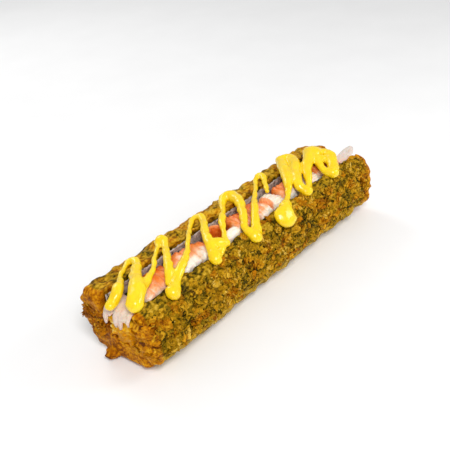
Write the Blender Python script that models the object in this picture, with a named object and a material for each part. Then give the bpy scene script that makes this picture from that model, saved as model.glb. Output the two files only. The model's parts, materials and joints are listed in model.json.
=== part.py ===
"""A deep-fried rice roll, slit along its top and filled like a hot dog.

The roll lies along X with its open near end at -X. Its -Y side is the near side. The slot along its top holds a bed
of rice, a strip of seaweed against the far wall, shrimps and pieces of crab stick, and a thick zigzag of yellow
sauce runs over it all from wall to wall. Sizes below are millimetres; the model is in metres, +Z up, with its
origin in the middle of the flat base.
"""
import math
import random

import bmesh
import bpy
from mathutils import Matrix, Vector, noise

MM = 0.001

# The roll: a squashed round log, squarer on its far side, with rounded ends.
LENGTH = 180.0
WIDTH = 42.0
HEIGHT = 40.0
NEAR_TOP_POWER = 2.65
NEAR_BOTTOM_POWER = 2.6
FAR_TOP_POWER = 5.0
FAR_BOTTOM_POWER = 3.5
NEAR_END_ROUNDING = 3.5  # radius of the rim round each end
FAR_END_ROUNDING = 6.5
END_LEAN = 0.15          # the near end leans out by this much for each unit of height
END_LEAN_REACH = 50.0
NEAR_END_SKEW = 5.0      # the near wall stops this much short of the far wall at the near end
NEAR_END_DROOP = 3.0     # sauce hangs this much lower over the edge of the near end
NEAR_END_REACH = 8.0
FAR_END_SKEW = 13.0      # the far wall stops this much short of the near wall at the far end
FAR_END_DROOP = 1.5
FAR_END_STRETCH = 2.0    # the far end bulges out by this much
FAR_END_REACH = 30.0
BASE_FLAT = 0.5          # whatever is lower than this is pressed flat
BASE_FADE = 5.0          # the crags fade out over this height above the base
END_SPINE = 15.0         # the crags of an end point away from a place this far inside it

# The crust's crags.
CRAG_SIZES = ((8.0, 0.6), (3.4, 0.85))   # wavelength and height of each layer of relief
CORNER_CRUMB = (-86.0, 8.4, 3.4)
CORNER_CRUMB_RADII = (4.2, 3.4, 2.7)

# The slot, a deep U that is open at the top and at both ends.
SLOT_CENTRE = -2.3
SLOT_HALF_WIDTH = 9.1
SLOT_TOP = 39.0
SLOT_FLOOR = 12.5
SLOT_POWER = 2.6

# What fills it.
GAP = 0.7
RICE_TOP = 27.6
RICE_ENDS = (-88.6, 79.0)
RICE_RISES = ((-77.5, -1, 4.2), (72.8, 1, 5.0))   # the bed is higher past these places: start, way, rise
RICE_RISE_REACH = 4.0
RICE_ROUGHNESS = 0.5
GRAIN_RADII = (3.1, 1.3, 1.25)
GRAIN_TURN = 0.5         # grains lie this many radians or less off level and off square
GRAIN_REACH = (3.0, 10.0, 3.6)   # lowest and highest above the slot's floor, and how clear of its walls
END_GRAINS = 6
NORI_THICKNESS = 0.8
NORI_BOTTOM = 28.2
NORI_TOP = 38.6
NORI_ENDS = (-86.5, 76.0)
NORI_WAVE = 0.35
NORI_INSET = 0.45        # how clear of the wall it stands
NORI_RAGGED = 0.5        # how uneven its upper edge is
FILLING_BASE = 28.2
FILLING_TOP = 40.2

# Shrimps: middle along the roll and across it, length, width of the body, turn in degrees.
SHRIMPS = (
    (-66.0, -2.9, 21.6, 14.9, 3.0),
    (-43.2, -2.9, 22.0, 14.6, -1.0),
    (-6.6, -2.6, 12.6, 13.6, -8.0),
    (6.2, -2.9, 11.0, 14.6, 6.0),
    (31.0, -3.2, 14.6, 13.2, -4.0),
    (63.0, -2.9, 18.0, 13.8, 4.0),
)
SHRIMP_HEIGHT = 10.5
SHRIMP_POWER = 3.4
SHRIMP_TIP = 0.7         # how thick its ends are for its middle
SHRIMP_BLUNTNESS = 12
SHRIMP_TAPER = 0.12      # how much thinner the tail is
SHRIMP_BEND = (0.5, 0.6)   # how far its ends fall to the near side and down
SEGMENTS = 5
SEGMENT_CREASE = 0.06
CURLED_SHRIMP = (-23.6, -0.9, 4.1, 3.8)   # middle along and across, radius of the curl, thickness of its body
CURL = (-75.0, 290.0)    # where its curl starts and how far round it goes, in degrees
CURL_STRETCH = (1.15, 0.9)   # how long and how wide the curl is for its radius
CURL_TIP = 0.3
CURL_HEIGHT = 11.4
CURL_LIFT = 0.2

# Pieces of crab stick: middle, then size, along, across and up, and a turn in degrees.
CRAB_CHUNKS = (
    ((-19.2, -8.4, 35.8), (9.8, 5.0, 9.8), 0.0),
    ((17.4, -3.6, 33.8), (9.5, 13.4, 10.6), 14.0),
    ((46.0, -4.2, 33.7), (14.0, 12.6, 10.4), -10.0),
)
CHUNK_POWER = 3.4
CHUNK_RIBS = 6
CHUNK_RIB_DEPTH = 0.03

# Torn strips of crab stick that hang over the near mouth: place across at the rim and at the tip, tip height, width.
HANGING_SHREDS = (
    (2.9, 4.9, 25.2, 2.8),
    (0.2, 0.7, 32.0, 3.2),
    (-2.6, -1.2, 25.7, 3.4),
    (-5.3, -3.6, 25.4, 3.3),
    (-7.3, -7.4, 31.8, 3.0),
    (-9.0, -9.4, 30.0, 3.0),
)
# On the way to the rim: how far inside the end, the share of its place across, and how high.
SHRED_ROUTE = ((11.0, 0.9, 34.6), (7.6, 0.95, 35.8), (3.7, 1.0, 35.9), (0.9, 1.0, 34.3))
SHRED_OUT = 0.4          # how far it hangs out of the end
SHRED_RUFFLE = 0.3
SHRED_WIDTHS = (0.8, 1.1, 1.15, 1.1, 1.0, 0.4)
SHRED_THICKNESS = 1.7
STRIP_CORNERS = ((-0.5, -0.2), (-0.3, 0.5), (0.3, 0.5), (0.5, -0.2), (0.0, -0.5))
# A broad shred that sticks out of the far end, from inside the slot to its tip, and its widths on the way.
FAR_SHRED = ((73.4, -6.3, 34.7), (76.8, -6.6, 35.2), (80.5, -7.0, 36.7), (84.0, -7.0, 37.9), (86.8, -6.6, 38.5))
FAR_SHRED_WIDTHS = (5.0, 7.0, 7.4, 6.6, 3.2)
FAR_SHRED_THICKNESS = 2.5

# The sauce: strands across the slot, each a run of (place along, place across, width), where across is measured
# round the roll's outline from its top, less than zero on the near side.
STRANDS = (
    ((-90.5, -2.1, 4.9), (-85.2, -0.7, 5.7), (-80.7, 2.3, 4.2), (-75.5, 8.0, 2.6), (-68.3, 12.3, 2.7),
     (-64.8, 12.6, 4.0), (-65.4, 8.2, 4.5), (-72.5, 1.2, 5.5), (-79.0, -6.5, 7.6), (-84.7, -10.5, 7.7)),
    ((-78.5, -7.7, 4.8), (-71.0, -4.6, 4.0), (-64.0, -1.0, 2.8), (-57.6, 4.9, 2.4), (-50.5, 10.5, 2.3),
     (-46.0, 14.0, 4.2), (-44.2, 12.8, 4.6), (-47.5, 8.4, 3.7), (-52.5, 2.2, 3.7), (-58.6, -5.1, 4.5),
     (-64.9, -11.2, 3.2)),
    ((-67.3, -15.7, 7.2), (-62.0, -12.6, 4.5), (-55.4, -9.2, 4.5), (-48.5, -6.0, 3.6), (-42.0, -1.2, 2.5),
     (-35.5, 4.8, 2.5), (-28.5, 10.2, 2.5), (-22.5, 13.8, 3.0), (-19.6, 12.4, 3.8), (-22.0, 7.3, 3.9),
     (-28.3, 0.8, 4.2), (-33.7, -6.4, 4.8), (-38.7, -14.8, 6.3)),
    ((-34.5, -8.0, 5.0), (-31.0, -10.1, 5.5), (-27.6, -11.6, 4.8)),
    ((-29.5, -12.0, 3.4), (-33.0, -13.6, 3.0), (-36.5, -15.4, 2.6)),
    ((-27.6, -11.1, 4.4), (-23.5, -7.0, 2.4), (-19.0, -2.2, 3.8), (-14.0, 2.4, 3.5), (-9.1, 5.9, 2.5),
     (-4.0, 11.0, 4.2), (0.7, 12.5, 6.2), (2.4, 8.8, 6.3), (-1.4, 1.2, 5.2), (-7.5, -5.4, 4.3),
     (-13.0, -11.2, 3.9), (-12.6, -17.0, 6.8)),
    ((-10.5, -16.0, 5.4), (-5.0, -10.8, 4.5), (1.5, -5.2, 4.0), (8.0, 0.0, 2.9), (18.5, 7.8, 2.4),
     (24.5, 12.5, 2.8), (28.4, 13.6, 4.0), (28.6, 11.2, 4.1), (23.5, 5.4, 3.0), (17.6, -0.7, 2.4)),
    ((47.2, 13.2, 5.8), (37.5, 3.1, 6.0), (29.3, -4.9, 5.0), (21.4, -10.8, 2.7), (16.8, -13.0, 5.2),
     (12.8, -15.0, 8.0), (9.8, -17.2, 13.0)),
    ((47.2, 13.0, 5.8), (51.0, 11.2, 6.0), (48.8, 5.6, 6.2), (40.9, -1.4, 5.8), (33.5, -7.8, 5.4),
     (31.6, -12.2, 5.2), (33.0, -14.2, 6.0)),
    ((34.0, -14.1, 5.0), (39.0, -11.2, 3.6), (42.4, -7.6, 5.0), (50.0, -2.4, 6.2), (60.2, 2.1, 8.0)),
    ((60.2, 1.6, 7.0), (57.4, -3.4, 5.2), (54.2, -8.6, 4.0), (53.6, -11.4, 4.8), (55.8, -14.2, 7.0)),
    ((62.0, 4.6, 6.0), (66.2, 4.2, 5.6), (65.7, 0.0, 5.4), (66.1, -5.4, 6.0), (61.5, -10.2, 6.2),
     (57.6, -13.6, 6.6)),
)
# Drops, where the sauce turned and piled up: place along, place across, size along and across.
DROPS = (
    (-45.4, 13.0, 6.2, 5.0),
    (60.8, 2.0, 11.0, 10.4),
    (59.9, -4.9, 5.6, 5.4),
    (61.6, -8.2, 5.4, 5.0),
)
TIGHT_TURN = 1.7         # a strand is no wider than this many times the radius that it turns on
STRAND_FLATNESS = 0.86   # height of a strand for its width
STRAND_LEAST_HEIGHT = 2.2
STRAND_MOST_HEIGHT = 6.8
STRAND_SINK = 0.6        # how far a strand's underside lies below the crust's outline
STRAND_END = ((0.25, 0.88), (0.42, 0.55))   # the round end: how far out, in widths, and how thick
STRAND_BRIDGE = 0.9      # how much higher it passes over the filling

# How finely the pieces are faceted.
ROLL_SIDES = 36
ROLL_STEP = 3.7
SLOT_SIDES = 14
STRAND_SIDES = 7
STRAND_STEP = 3.3
SHRIMP_SIDES = 10
RICE_STATIONS = 16
NORI_STATIONS = 28
OUTLINE_STEPS = 720


# ---------------------------------------------------------------- small helpers

def smooth(value):
    """Ease from 0 to 1."""
    value = min(max(value, 0.0), 1.0)
    return value * value * (3 - 2 * value)


def make_material(name, colour, roughness):
    material = bpy.data.materials.new(name)
    material.use_nodes = True
    shader = material.node_tree.nodes["Principled BSDF"]
    shader.inputs["Base Color"].default_value = (*colour, 1.0)
    shader.inputs["Roughness"].default_value = roughness
    shader.inputs["Metallic"].default_value = 0.0
    return material


def make_object(name, mesh_builder, material):
    """Turn a bmesh in millimetres into an object in metres, with its faces turned out."""
    mesh_builder.normal_update()
    bmesh.ops.recalc_face_normals(mesh_builder, faces=mesh_builder.faces)
    bmesh.ops.triangulate(mesh_builder, faces=mesh_builder.faces)
    bmesh.ops.scale(mesh_builder, vec=(MM, MM, MM), verts=mesh_builder.verts)
    mesh = bpy.data.meshes.new(name)
    mesh_builder.to_mesh(mesh)
    mesh_builder.free()
    mesh.materials.append(material)
    mesh.shade_smooth()
    mesh.set_sharp_from_angle(angle=math.radians(50))
    item = bpy.data.objects.new(name, mesh)
    bpy.context.collection.objects.link(item)
    return item


def loft(rings, first_tip=None, last_tip=None):
    """Join rings of points one after the other; each end is a flat face, or runs to a tip."""
    builder = bmesh.new()
    loops = [[builder.verts.new(point) for point in ring] for ring in rings]
    for lower, upper in zip(loops, loops[1:]):
        for index, corner in enumerate(lower):
            following = (index + 1) % len(lower)
            builder.faces.new((corner, lower[following], upper[following], upper[index]))
    for loop, tip in ((loops[0], first_tip), (loops[-1], last_tip)):
        if tip is None:
            builder.faces.new(loop)
            continue
        point = builder.verts.new(tip)
        for index, corner in enumerate(loop):
            builder.faces.new((corner, loop[(index + 1) % len(loop)], point))
    return builder


def boolean(item, operation, tool=None, tools=None):
    """Cut or join, apply the result, and remove the tools."""
    modifier = item.modifiers.new(operation, "BOOLEAN")
    modifier.operation = operation
    modifier.solver = "EXACT"
    modifier.material_mode = "TRANSFER"
    if tools is None:
        modifier.object = tool
    else:
        modifier.operand_type = "COLLECTION"
        modifier.collection = tools
    with bpy.context.temp_override(object=item, active_object=item, selected_objects=[item]):
        bpy.ops.object.modifier_apply(modifier=modifier.name)
    for used in list(tools.objects) if tools else [tool]:
        bpy.data.objects.remove(used, do_unlink=True)
    if tools:
        bpy.data.collections.remove(tools)


def fuse(item, pieces):
    """Join the pieces to the item with one Boolean union on a collection."""
    collection = bpy.data.collections.new(item.name + " pieces")
    bpy.context.scene.collection.children.link(collection)
    for piece in pieces:
        bpy.context.collection.objects.unlink(piece)
        collection.objects.link(piece)
    boolean(item, "UNION", tools=collection)


def smooth_path(points, step):
    """Run a smooth curve through rows of numbers and read it at even steps."""
    rows = [Vector(points[0]) * 2 - Vector(points[1])]
    rows += [Vector(point) for point in points]
    rows.append(Vector(points[-1]) * 2 - Vector(points[-2]))
    path = [rows[1]]
    for before, start, end, after in zip(rows, rows[1:], rows[2:], rows[3:]):
        count = max(1, round((end - start).xy.length / step))
        for index in range(1, count + 1):
            t = index / count
            path.append(0.5 * (2 * start + (end - before) * t
                               + (2 * before - 5 * start + 4 * end - after) * t ** 2
                               + (3 * start - before - 3 * end + after) * t ** 3))
    return path


# ---------------------------------------------------------------- the roll's outline

def outline_at(angle):
    """A point of the cross-section, whose four quarters differ in squareness."""
    c, s = math.cos(angle), math.sin(angle)
    if s > 0:
        power = NEAR_TOP_POWER if c < 0 else FAR_TOP_POWER
    else:
        power = NEAR_BOTTOM_POWER if c < 0 else FAR_BOTTOM_POWER
    y = math.copysign(WIDTH / 2 * abs(c) ** (2 / power), c)
    z = HEIGHT / 2 + math.copysign(HEIGHT / 2 * abs(s) ** (2 / power), s)
    return Vector((0, y, z))


def measure_outline():
    """Points round the cross-section from its top by way of the near side, with their distance so far."""
    points = [outline_at(math.pi / 2 + math.tau * index / OUTLINE_STEPS) for index in range(OUTLINE_STEPS + 1)]
    distances = [0.0]
    for before, after in zip(points, points[1:]):
        distances.append(distances[-1] + (after - before).length)
    return points, distances


OUTLINE, OUTLINE_DISTANCES = measure_outline()
GIRTH = OUTLINE_DISTANCES[-1]


def on_outline(across):
    """The point that lies this far round the outline from its top; less than zero is the near side."""
    distance = -across % GIRTH
    index = next(i for i, reached in enumerate(OUTLINE_DISTANCES) if reached >= distance)
    if index == 0:
        return OUTLINE[0].copy()
    start, end = OUTLINE_DISTANCES[index - 1], OUTLINE_DISTANCES[index]
    return OUTLINE[index - 1].lerp(OUTLINE[index], (distance - start) / (end - start))


def outward(across):
    """The direction that points out of the outline there."""
    along = on_outline(across + 0.8) - on_outline(across - 0.8)
    return Vector((0, -along.z, along.y)).normalized()


def far_end(x):
    """How far along the bent far end a place is, from 0 to 1."""
    return smooth((x - LENGTH / 2 + FAR_END_REACH) / FAR_END_REACH)


def mouth_shift(y, z):
    """How far along the skewed and leaning near end lies there, for an upright, square one."""
    return NEAR_END_SKEW * (WIDTH / 2 - y) / WIDTH - END_LEAN * (z - HEIGHT / 2)


def bend_ends(point):
    """Lean and skew the near end, and skew, stretch and lower the far end."""
    x, y, z = point
    near = smooth((END_LEAN_REACH - LENGTH / 2 - x) / END_LEAN_REACH)
    far = far_end(x)
    x += near * mouth_shift(y, z)
    x += far * (FAR_END_STRETCH - FAR_END_SKEW * (y + WIDTH / 2) / WIDTH)
    z -= far * FAR_END_DROOP * smooth(z / HEIGHT)
    return Vector((x, y, z))


def crag(point):
    """Height of the crust's relief at a point."""
    return sum(height * noise.noise(point / size) * 2 for size, height in CRAG_SIZES)


# ---------------------------------------------------------------- roll and slot

def roll_stations():
    """Places along the roll, with how far the outline is drawn in at each."""
    start = NEAR_END_ROUNDING - LENGTH / 2
    end = LENGTH / 2 - FAR_END_ROUNDING
    count = round((end - start) / ROLL_STEP)
    stations = [(start + (end - start) * index / count, 0.0) for index in range(count + 1)]
    for turn in (30, 60, 90):
        reach = math.sin(math.radians(turn))
        inset = 1 - math.cos(math.radians(turn))
        stations.append((end + FAR_END_ROUNDING * reach, FAR_END_ROUNDING * inset))
        stations.insert(0, (start - NEAR_END_ROUNDING * reach, NEAR_END_ROUNDING * inset))
    stations.append((LENGTH / 2, (WIDTH / 2 + FAR_END_ROUNDING) / 2))
    stations.insert(0, (-LENGTH / 2, (WIDTH / 2 + NEAR_END_ROUNDING) / 2))
    return stations


def roll_ring(x, inset):
    centre = Vector((0, 0, HEIGHT / 2))
    shrink = 1 - inset / (WIDTH / 2)
    ring = []
    for index in range(ROLL_SIDES):
        point = centre + (on_outline(-GIRTH * index / ROLL_SIDES) - centre) * shrink
        point.x = x
        spine = Vector((min(max(x, END_SPINE - LENGTH / 2), LENGTH / 2 - END_SPINE), 0, HEIGHT / 2))
        point += (point - spine).normalized() * crag(point) * smooth(point.z / BASE_FADE)
        point = bend_ends(point)
        if point.z < BASE_FLAT:
            point.z = 0.0
        ring.append(point)
    return ring


def slot_half_width(z):
    depth = min(max((SLOT_TOP - z) / (SLOT_TOP - SLOT_FLOOR), 0.0), 1.0)
    return SLOT_HALF_WIDTH * (1 - depth ** SLOT_POWER) ** (1 / SLOT_POWER)


def slot_ring(x, top, clearance=0.0):
    """A U-shaped section of the slot, closed along its top."""
    floor = SLOT_FLOOR + clearance
    side = []
    steps = SLOT_SIDES // 2
    for index in range(steps):
        z = floor + (min(top, SLOT_TOP) - floor) * (1 - math.cos(math.pi / 2 * (index + 0.5) / steps))
        side.append((slot_half_width(z - clearance) - clearance, z))
    side.append((slot_half_width(SLOT_TOP if top > SLOT_TOP else top) - clearance, top))
    far_side = [Vector((x, SLOT_CENTRE + half, z)) for half, z in reversed(side)]
    near_side = [Vector((x, SLOT_CENTRE - half, z)) for half, z in side]
    return far_side + [Vector((x, SLOT_CENTRE, floor))] + near_side


def make_slot_cutter(material):
    past_end = LENGTH / 2 + 15
    above = HEIGHT + 15
    cutter = make_object("slot", loft([slot_ring(-past_end, above), slot_ring(past_end, above)]), material)
    return cutter


def make_crumb(material):
    builder = bmesh.new()
    bmesh.ops.create_icosphere(builder, subdivisions=2, radius=1.0)
    for vertex in builder.verts:
        vertex.co *= 1 + 0.5 * noise.noise(vertex.co * 2)
        vertex.co = Vector(CORNER_CRUMB) + Vector(a * b for a, b in zip(vertex.co, CORNER_CRUMB_RADII))
    return make_object("crumb", builder, material)


# ---------------------------------------------------------------- the sauce

def strand_centre(x, across, height):
    """Where a strand's middle runs, low over the walls and higher over the filling."""
    point = on_outline(across)
    over_slot = max(0.0, 1 - ((point.y - SLOT_CENTRE) / SLOT_HALF_WIDTH) ** 4)
    point += outward(across) * (height / 2 - STRAND_SINK + STRAND_BRIDGE * over_slot)
    over_edge = smooth((NEAR_END_REACH - LENGTH / 2 - x) / NEAR_END_REACH)
    return Vector((x, point.y, point.z - FAR_END_DROOP * far_end(x) - NEAR_END_DROOP * over_edge))


def turn_radius(before, here, after):
    """Radius of the circle through three points."""
    area = (here - before).cross(after - here).length / 2
    sides = (here - before).length * (after - here).length * (after - before).length
    return sides / (4 * area) if area > 1e-6 else math.inf


def make_strand(rows, material):
    path = smooth_path(rows, STRAND_STEP)
    heights = [min(max(row.z * STRAND_FLATNESS, STRAND_LEAST_HEIGHT), STRAND_MOST_HEIGHT) for row in path]
    centres = [strand_centre(row.x, row.y, height) for row, height in zip(path, heights)]
    for index in range(1, len(path) - 1):
        path[index].z = min(path[index].z, TIGHT_TURN * turn_radius(*centres[index - 1:index + 2]))
    rings = []
    frames = []
    for index, (row, height) in enumerate(zip(path, heights)):
        ahead = centres[min(index + 1, len(centres) - 1)]
        behind = centres[max(index - 1, 0)]
        along = (ahead - behind).normalized()
        side = along.cross(outward(row.y)).normalized()
        up = side.cross(along)
        frames.append((along, side, up))
        rings.append(strand_ring(centres[index], side, up, row.z, height))
    tips = []
    for end, sign in ((0, -1), (-1, 1)):
        along, side, up = frames[end]
        width, height = path[end].z, heights[end]
        for reach, size in STRAND_END:
            shoulder = strand_ring(centres[end] + along * sign * width * reach, side, up, width * size, height * size)
            rings.insert(0 if sign < 0 else len(rings), shoulder)
        tips.append(centres[end] + along * sign * width * 0.5)
    return make_object("strand", loft(rings, *tips), material)


def strand_ring(centre, side, up, width, height):
    ring = []
    for index in range(STRAND_SIDES):
        angle = math.tau * (index + 0.5) / STRAND_SIDES - math.pi / 2
        ring.append(centre + side * math.cos(angle) * width / 2 + up * math.sin(angle) * height / 2)
    return ring


def make_drop(x, across, length, width, material):
    height = min(width * STRAND_FLATNESS, STRAND_MOST_HEIGHT)
    builder = bmesh.new()
    bmesh.ops.create_uvsphere(builder, u_segments=8, v_segments=6, radius=1.0)
    along = Vector((1, 0, 0))
    up = outward(across)
    axes = Matrix((along * length / 2, up.cross(along) * width / 2, up * height / 2)).transposed().to_4x4()
    axes.translation = strand_centre(x, across, height)
    bmesh.ops.transform(builder, matrix=axes, verts=builder.verts)
    return make_object("drop", builder, material)


def make_roll(crust, sauce):
    stations = roll_stations()
    rings = [roll_ring(x, inset) for x, inset in stations]
    tips = [sum(ring, Vector()) / ROLL_SIDES for ring in (rings[0], rings[-1])]
    roll = make_object("roll", loft(rings, *tips), crust)
    boolean(roll, "DIFFERENCE", tool=make_slot_cutter(crust))
    strands = [make_strand(rows, sauce) for rows in STRANDS]
    drops = [make_drop(*row, sauce) for row in DROPS]
    fuse(roll, strands + drops + [make_crumb(crust)])
    return roll


# ---------------------------------------------------------------- rice and seaweed

def make_grain(centre, turn, tilt, material):
    builder = bmesh.new()
    bmesh.ops.create_uvsphere(builder, u_segments=5, v_segments=4, radius=1.0)
    lay_down = Matrix.Rotation(math.pi / 2, 4, "Y")
    shape = Matrix.Diagonal((*GRAIN_RADII, 1.0))
    place = Matrix.Translation(centre) @ Matrix.Rotation(turn, 4, "Z") @ Matrix.Rotation(tilt, 4, "Y")
    bmesh.ops.transform(builder, matrix=place @ shape @ lay_down, verts=builder.verts)
    return make_object("grain", builder, material)


def rice_rise(x):
    """How much higher the bed of rice is towards both mouths."""
    return sum(rise * smooth((x - start) * way / RICE_RISE_REACH) for start, way, rise in RICE_RISES)


def make_rice(material):
    """A bed of rice along the slot's floor, with whole grains showing at both mouths."""
    start, end = RICE_ENDS
    places = [start + (end - start) * index / RICE_STATIONS for index in range(RICE_STATIONS + 1)]
    places += [place + way * RICE_RISE_REACH * part for place, way, rise in RICE_RISES for part in (0, 0.5, 1)]
    rings = []
    for x in sorted(places):
        ring = []
        for point in slot_ring(x, RICE_TOP, GAP):
            if point.z > RICE_TOP - 0.1:
                point.z += rice_rise(x) + RICE_ROUGHNESS * noise.noise(Vector((x / 5, point.y / 3, 0.0)))
            ring.append(point)
        rings.append(ring)
    for point in rings[0]:
        point.x += mouth_shift(point.y, point.z)
    rice = make_object("rice", loft(rings), material)
    draw = random.Random(4)
    grains = []
    lowest, highest, clearance = GRAIN_REACH
    for face in (start, end):
        for index in range(END_GRAINS):
            z = SLOT_FLOOR + lowest + (highest - lowest) * (index + 0.5) / END_GRAINS
            reach = max(0.0, slot_half_width(z) - clearance)
            y = SLOT_CENTRE + reach * draw.choice((-0.9, -0.3, 0.3, 0.9))
            x = face + (mouth_shift(y, z) if face == start else 0.0)
            turn = math.pi / 2 + draw.uniform(-GRAIN_TURN, GRAIN_TURN)
            grains.append(make_grain(Vector((x, y, z)), turn, draw.uniform(-GRAIN_TURN, GRAIN_TURN), material))
    fuse(rice, grains)
    return rice


def make_nori(material):
    """A thin wavy strip of seaweed that stands against the slot's far wall."""
    start, end = NORI_ENDS
    spacing = (end - start) / NORI_STATIONS
    rings = []
    for index in range(NORI_STATIONS + 1):
        x = start + spacing * index
        outer, inner = [], []
        bottom = NORI_BOTTOM + max(rice_rise(x + side * spacing) for side in (-1, 0, 1))
        for step in range(3):
            z = bottom + (NORI_TOP - bottom) * step / 2
            wave = NORI_WAVE * (noise.noise(Vector((x / 6, z / 9, 0.0))) - 1)
            y = SLOT_CENTRE + slot_half_width(z) - NORI_INSET + wave
            if step == 2:
                z += NORI_RAGGED * noise.noise(Vector((x / 3, 7.0, 0.0)))
            z -= FAR_END_DROOP * far_end(x) * (step / 2)
            outer.append(Vector((x, y, z)))
            inner.append(Vector((x, y - NORI_THICKNESS, z)))
        rings.append(outer + inner[::-1])
    return make_object("nori", loft(rings), material)


# ---------------------------------------------------------------- shrimps and crab stick

def body_ring(centre, along, width, height):
    """An upright ring across a lying body, squarer than an oval, as its neighbours press on it."""
    side = along.cross(Vector((0, 0, 1))).normalized()
    ring = []
    for index in range(SHRIMP_SIDES):
        angle = math.tau * (index + 0.5) / SHRIMP_SIDES
        c, s = math.cos(angle), math.sin(angle)
        across = math.copysign(abs(c) ** (2 / SHRIMP_POWER), c) * width / 2
        up = math.copysign(abs(s) ** (2 / SHRIMP_POWER), s) * height / 2
        ring.append(centre + side * across + Vector((0, 0, up)))
    return ring


def make_shrimp(name, x, y, length, width, turn, material):
    """A peeled shrimp on its side: a bent body of ringed segments, thick at the head and narrow at the tail."""
    middle = Vector((x, y, (FILLING_TOP + FILLING_BASE) / 2))
    spin = Matrix.Rotation(math.radians(turn), 3, "Z")
    sideways, down = SHRIMP_BEND
    count = 2 * SEGMENTS
    rings = []
    for index in range(count + 1):
        t = index / count
        end_fall = abs(2 * t - 1) ** 3
        rounded = math.sqrt(max(0.0, 1 - abs(2 * t - 1) ** SHRIMP_BLUNTNESS))
        swell = rounded * (1 - SHRIMP_TIP) + SHRIMP_TIP
        ripple = 1 - SEGMENT_CREASE * math.cos(math.tau * SEGMENTS * t)
        local = Vector(((t - 0.5) * length, -sideways * end_fall, -down * end_fall))
        body = swell * ripple * (1 - SHRIMP_TAPER * t)
        rings.append(body_ring(middle + spin @ local, spin @ Vector((1, 0, 0)), width * body, SHRIMP_HEIGHT * body))
    return make_object(name, loft(rings), material)


def make_curled_shrimp(name, material):
    """A small shrimp curled into a ring with a hollow in the middle."""
    x, y, radius, thickness = CURLED_SHRIMP
    first, round_by = CURL
    longer, wider = CURL_STRETCH
    count = 14
    rings = []
    for index in range(count + 1):
        t = index / count
        angle = math.radians(first + round_by * t)
        taper = math.sqrt(max(0.0, 1 - abs(2 * t - 1) ** 6)) * (1 - CURL_TIP) + CURL_TIP
        centre = Vector((x + radius * math.cos(angle) * longer, y + radius * math.sin(angle) * wider,
                         FILLING_BASE + CURL_LIFT + CURL_HEIGHT * 0.5 * taper))
        along = Vector((-math.sin(angle) * longer, math.cos(angle) * wider, 0)).normalized()
        rings.append(body_ring(centre, along, thickness * taper, CURL_HEIGHT * taper))
    return make_object(name, loft(rings), material)


def make_chunk(name, centre, size, turn, material):
    """A short thick piece of crab stick, ribbed along its fibres."""
    builder = bmesh.new()
    bmesh.ops.create_uvsphere(builder, u_segments=12, v_segments=8, radius=1.0)
    spin = Matrix.Rotation(math.radians(turn), 3, "Z") @ Matrix.Rotation(math.pi / 2, 3, "Y")
    for vertex in builder.verts:
        direction = vertex.co.copy()
        square = (sum(abs(part) ** CHUNK_POWER for part in direction)) ** (-1 / CHUNK_POWER)
        rib = 1 + CHUNK_RIB_DEPTH * math.sin(CHUNK_RIBS * math.atan2(direction.y, direction.x))
        vertex.co = direction * square * rib
        vertex.co = Vector((vertex.co.x * size[2], vertex.co.y * size[1], vertex.co.z * size[0])) / 2
        vertex.co = Vector(centre) + spin @ vertex.co
    return make_object(name, builder, material)


def make_strip(path, widths, thickness, material):
    """A flat torn strip along a path, wide across Y."""
    rings = []
    for index, (centre, width) in enumerate(zip(path, widths)):
        along = (path[min(index + 1, len(path) - 1)] - path[max(index - 1, 0)]).normalized()
        side = Vector((0, 1, 0))
        up = side.cross(along).normalized()
        rings.append([centre + side * across * width + up * lift * thickness for across, lift in STRIP_CORNERS])
    return make_object("strip", loft(rings), material)


def shred_path(y, tip_y, tip):
    """The way of a strip along the filling, over the rim of the near end and down to its tip."""
    ruffle = SHRED_RUFFLE * math.sin(y * 2.1)
    path = []
    for inside, share, height in SHRED_ROUTE:
        path.append(Vector((inside + mouth_shift(y, height) - LENGTH / 2, y * share, height + ruffle)))
    for part in (0.5, 1.0):
        across = y + (tip_y - y) * part
        height = path[3].z + (tip - path[3].z) * part
        path.append(Vector((mouth_shift(across, height) - LENGTH / 2 - SHRED_OUT, across, height)))
    return path


def make_hanging_shreds(material):
    strips = []
    for y, tip_y, tip, width in HANGING_SHREDS:
        widths = [width * part for part in SHRED_WIDTHS]
        strips.append(make_strip(shred_path(y, tip_y, tip), widths, SHRED_THICKNESS, material))
    bundle = strips[0]
    bundle.name = "crab_shreds_near"
    fuse(bundle, strips[1:])
    return bundle


def make_far_shred(material):
    path = [Vector(point) for point in FAR_SHRED]
    shred = make_strip(path, FAR_SHRED_WIDTHS, FAR_SHRED_THICKNESS, material)
    shred.name = "crab_shred_far"


# ---------------------------------------------------------------- the whole

def main():
    for item in list(bpy.data.objects):
        bpy.data.objects.remove(item, do_unlink=True)
    crust = make_material("crust", (0.42, 0.24, 0.03), 0.75)
    sauce = make_material("sauce", (0.92, 0.68, 0.02), 0.3)
    rice = make_material("rice", (0.85, 0.76, 0.52), 0.55)
    nori = make_material("nori", (0.09, 0.08, 0.09), 0.5)
    shrimp = make_material("shrimp", (0.90, 0.38, 0.16), 0.45)
    crab = make_material("crab", (0.92, 0.82, 0.76), 0.5)

    make_roll(crust, sauce)
    make_rice(rice)
    make_nori(nori)
    for number, row in enumerate(SHRIMPS, start=1):
        make_shrimp(f"shrimp_{number}", *row, shrimp)
    make_curled_shrimp("shrimp_curled", shrimp)
    for number, (centre, size, turn) in enumerate(CRAB_CHUNKS, start=1):
        make_chunk(f"crab_chunk_{number}", centre, size, turn, crab)
    make_hanging_shreds(crab)
    make_far_shred(crab)


main()
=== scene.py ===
"""The looks of a deep-fried rice roll that is slit and filled like a hot dog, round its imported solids.

Every sub-part's solid is replaced by a finer mesh of the same form: a craggy crust with thousands of crumbs,
glossy sauce, rice grains, seaweed, shrimps and fibrous crab stick. Sizes are millimetres in the part's own
frame: +X along the roll away from its open near end, -Y towards the near side, +Z up. make_object turns them
into metres.
"""

import json
import math
import random

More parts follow.
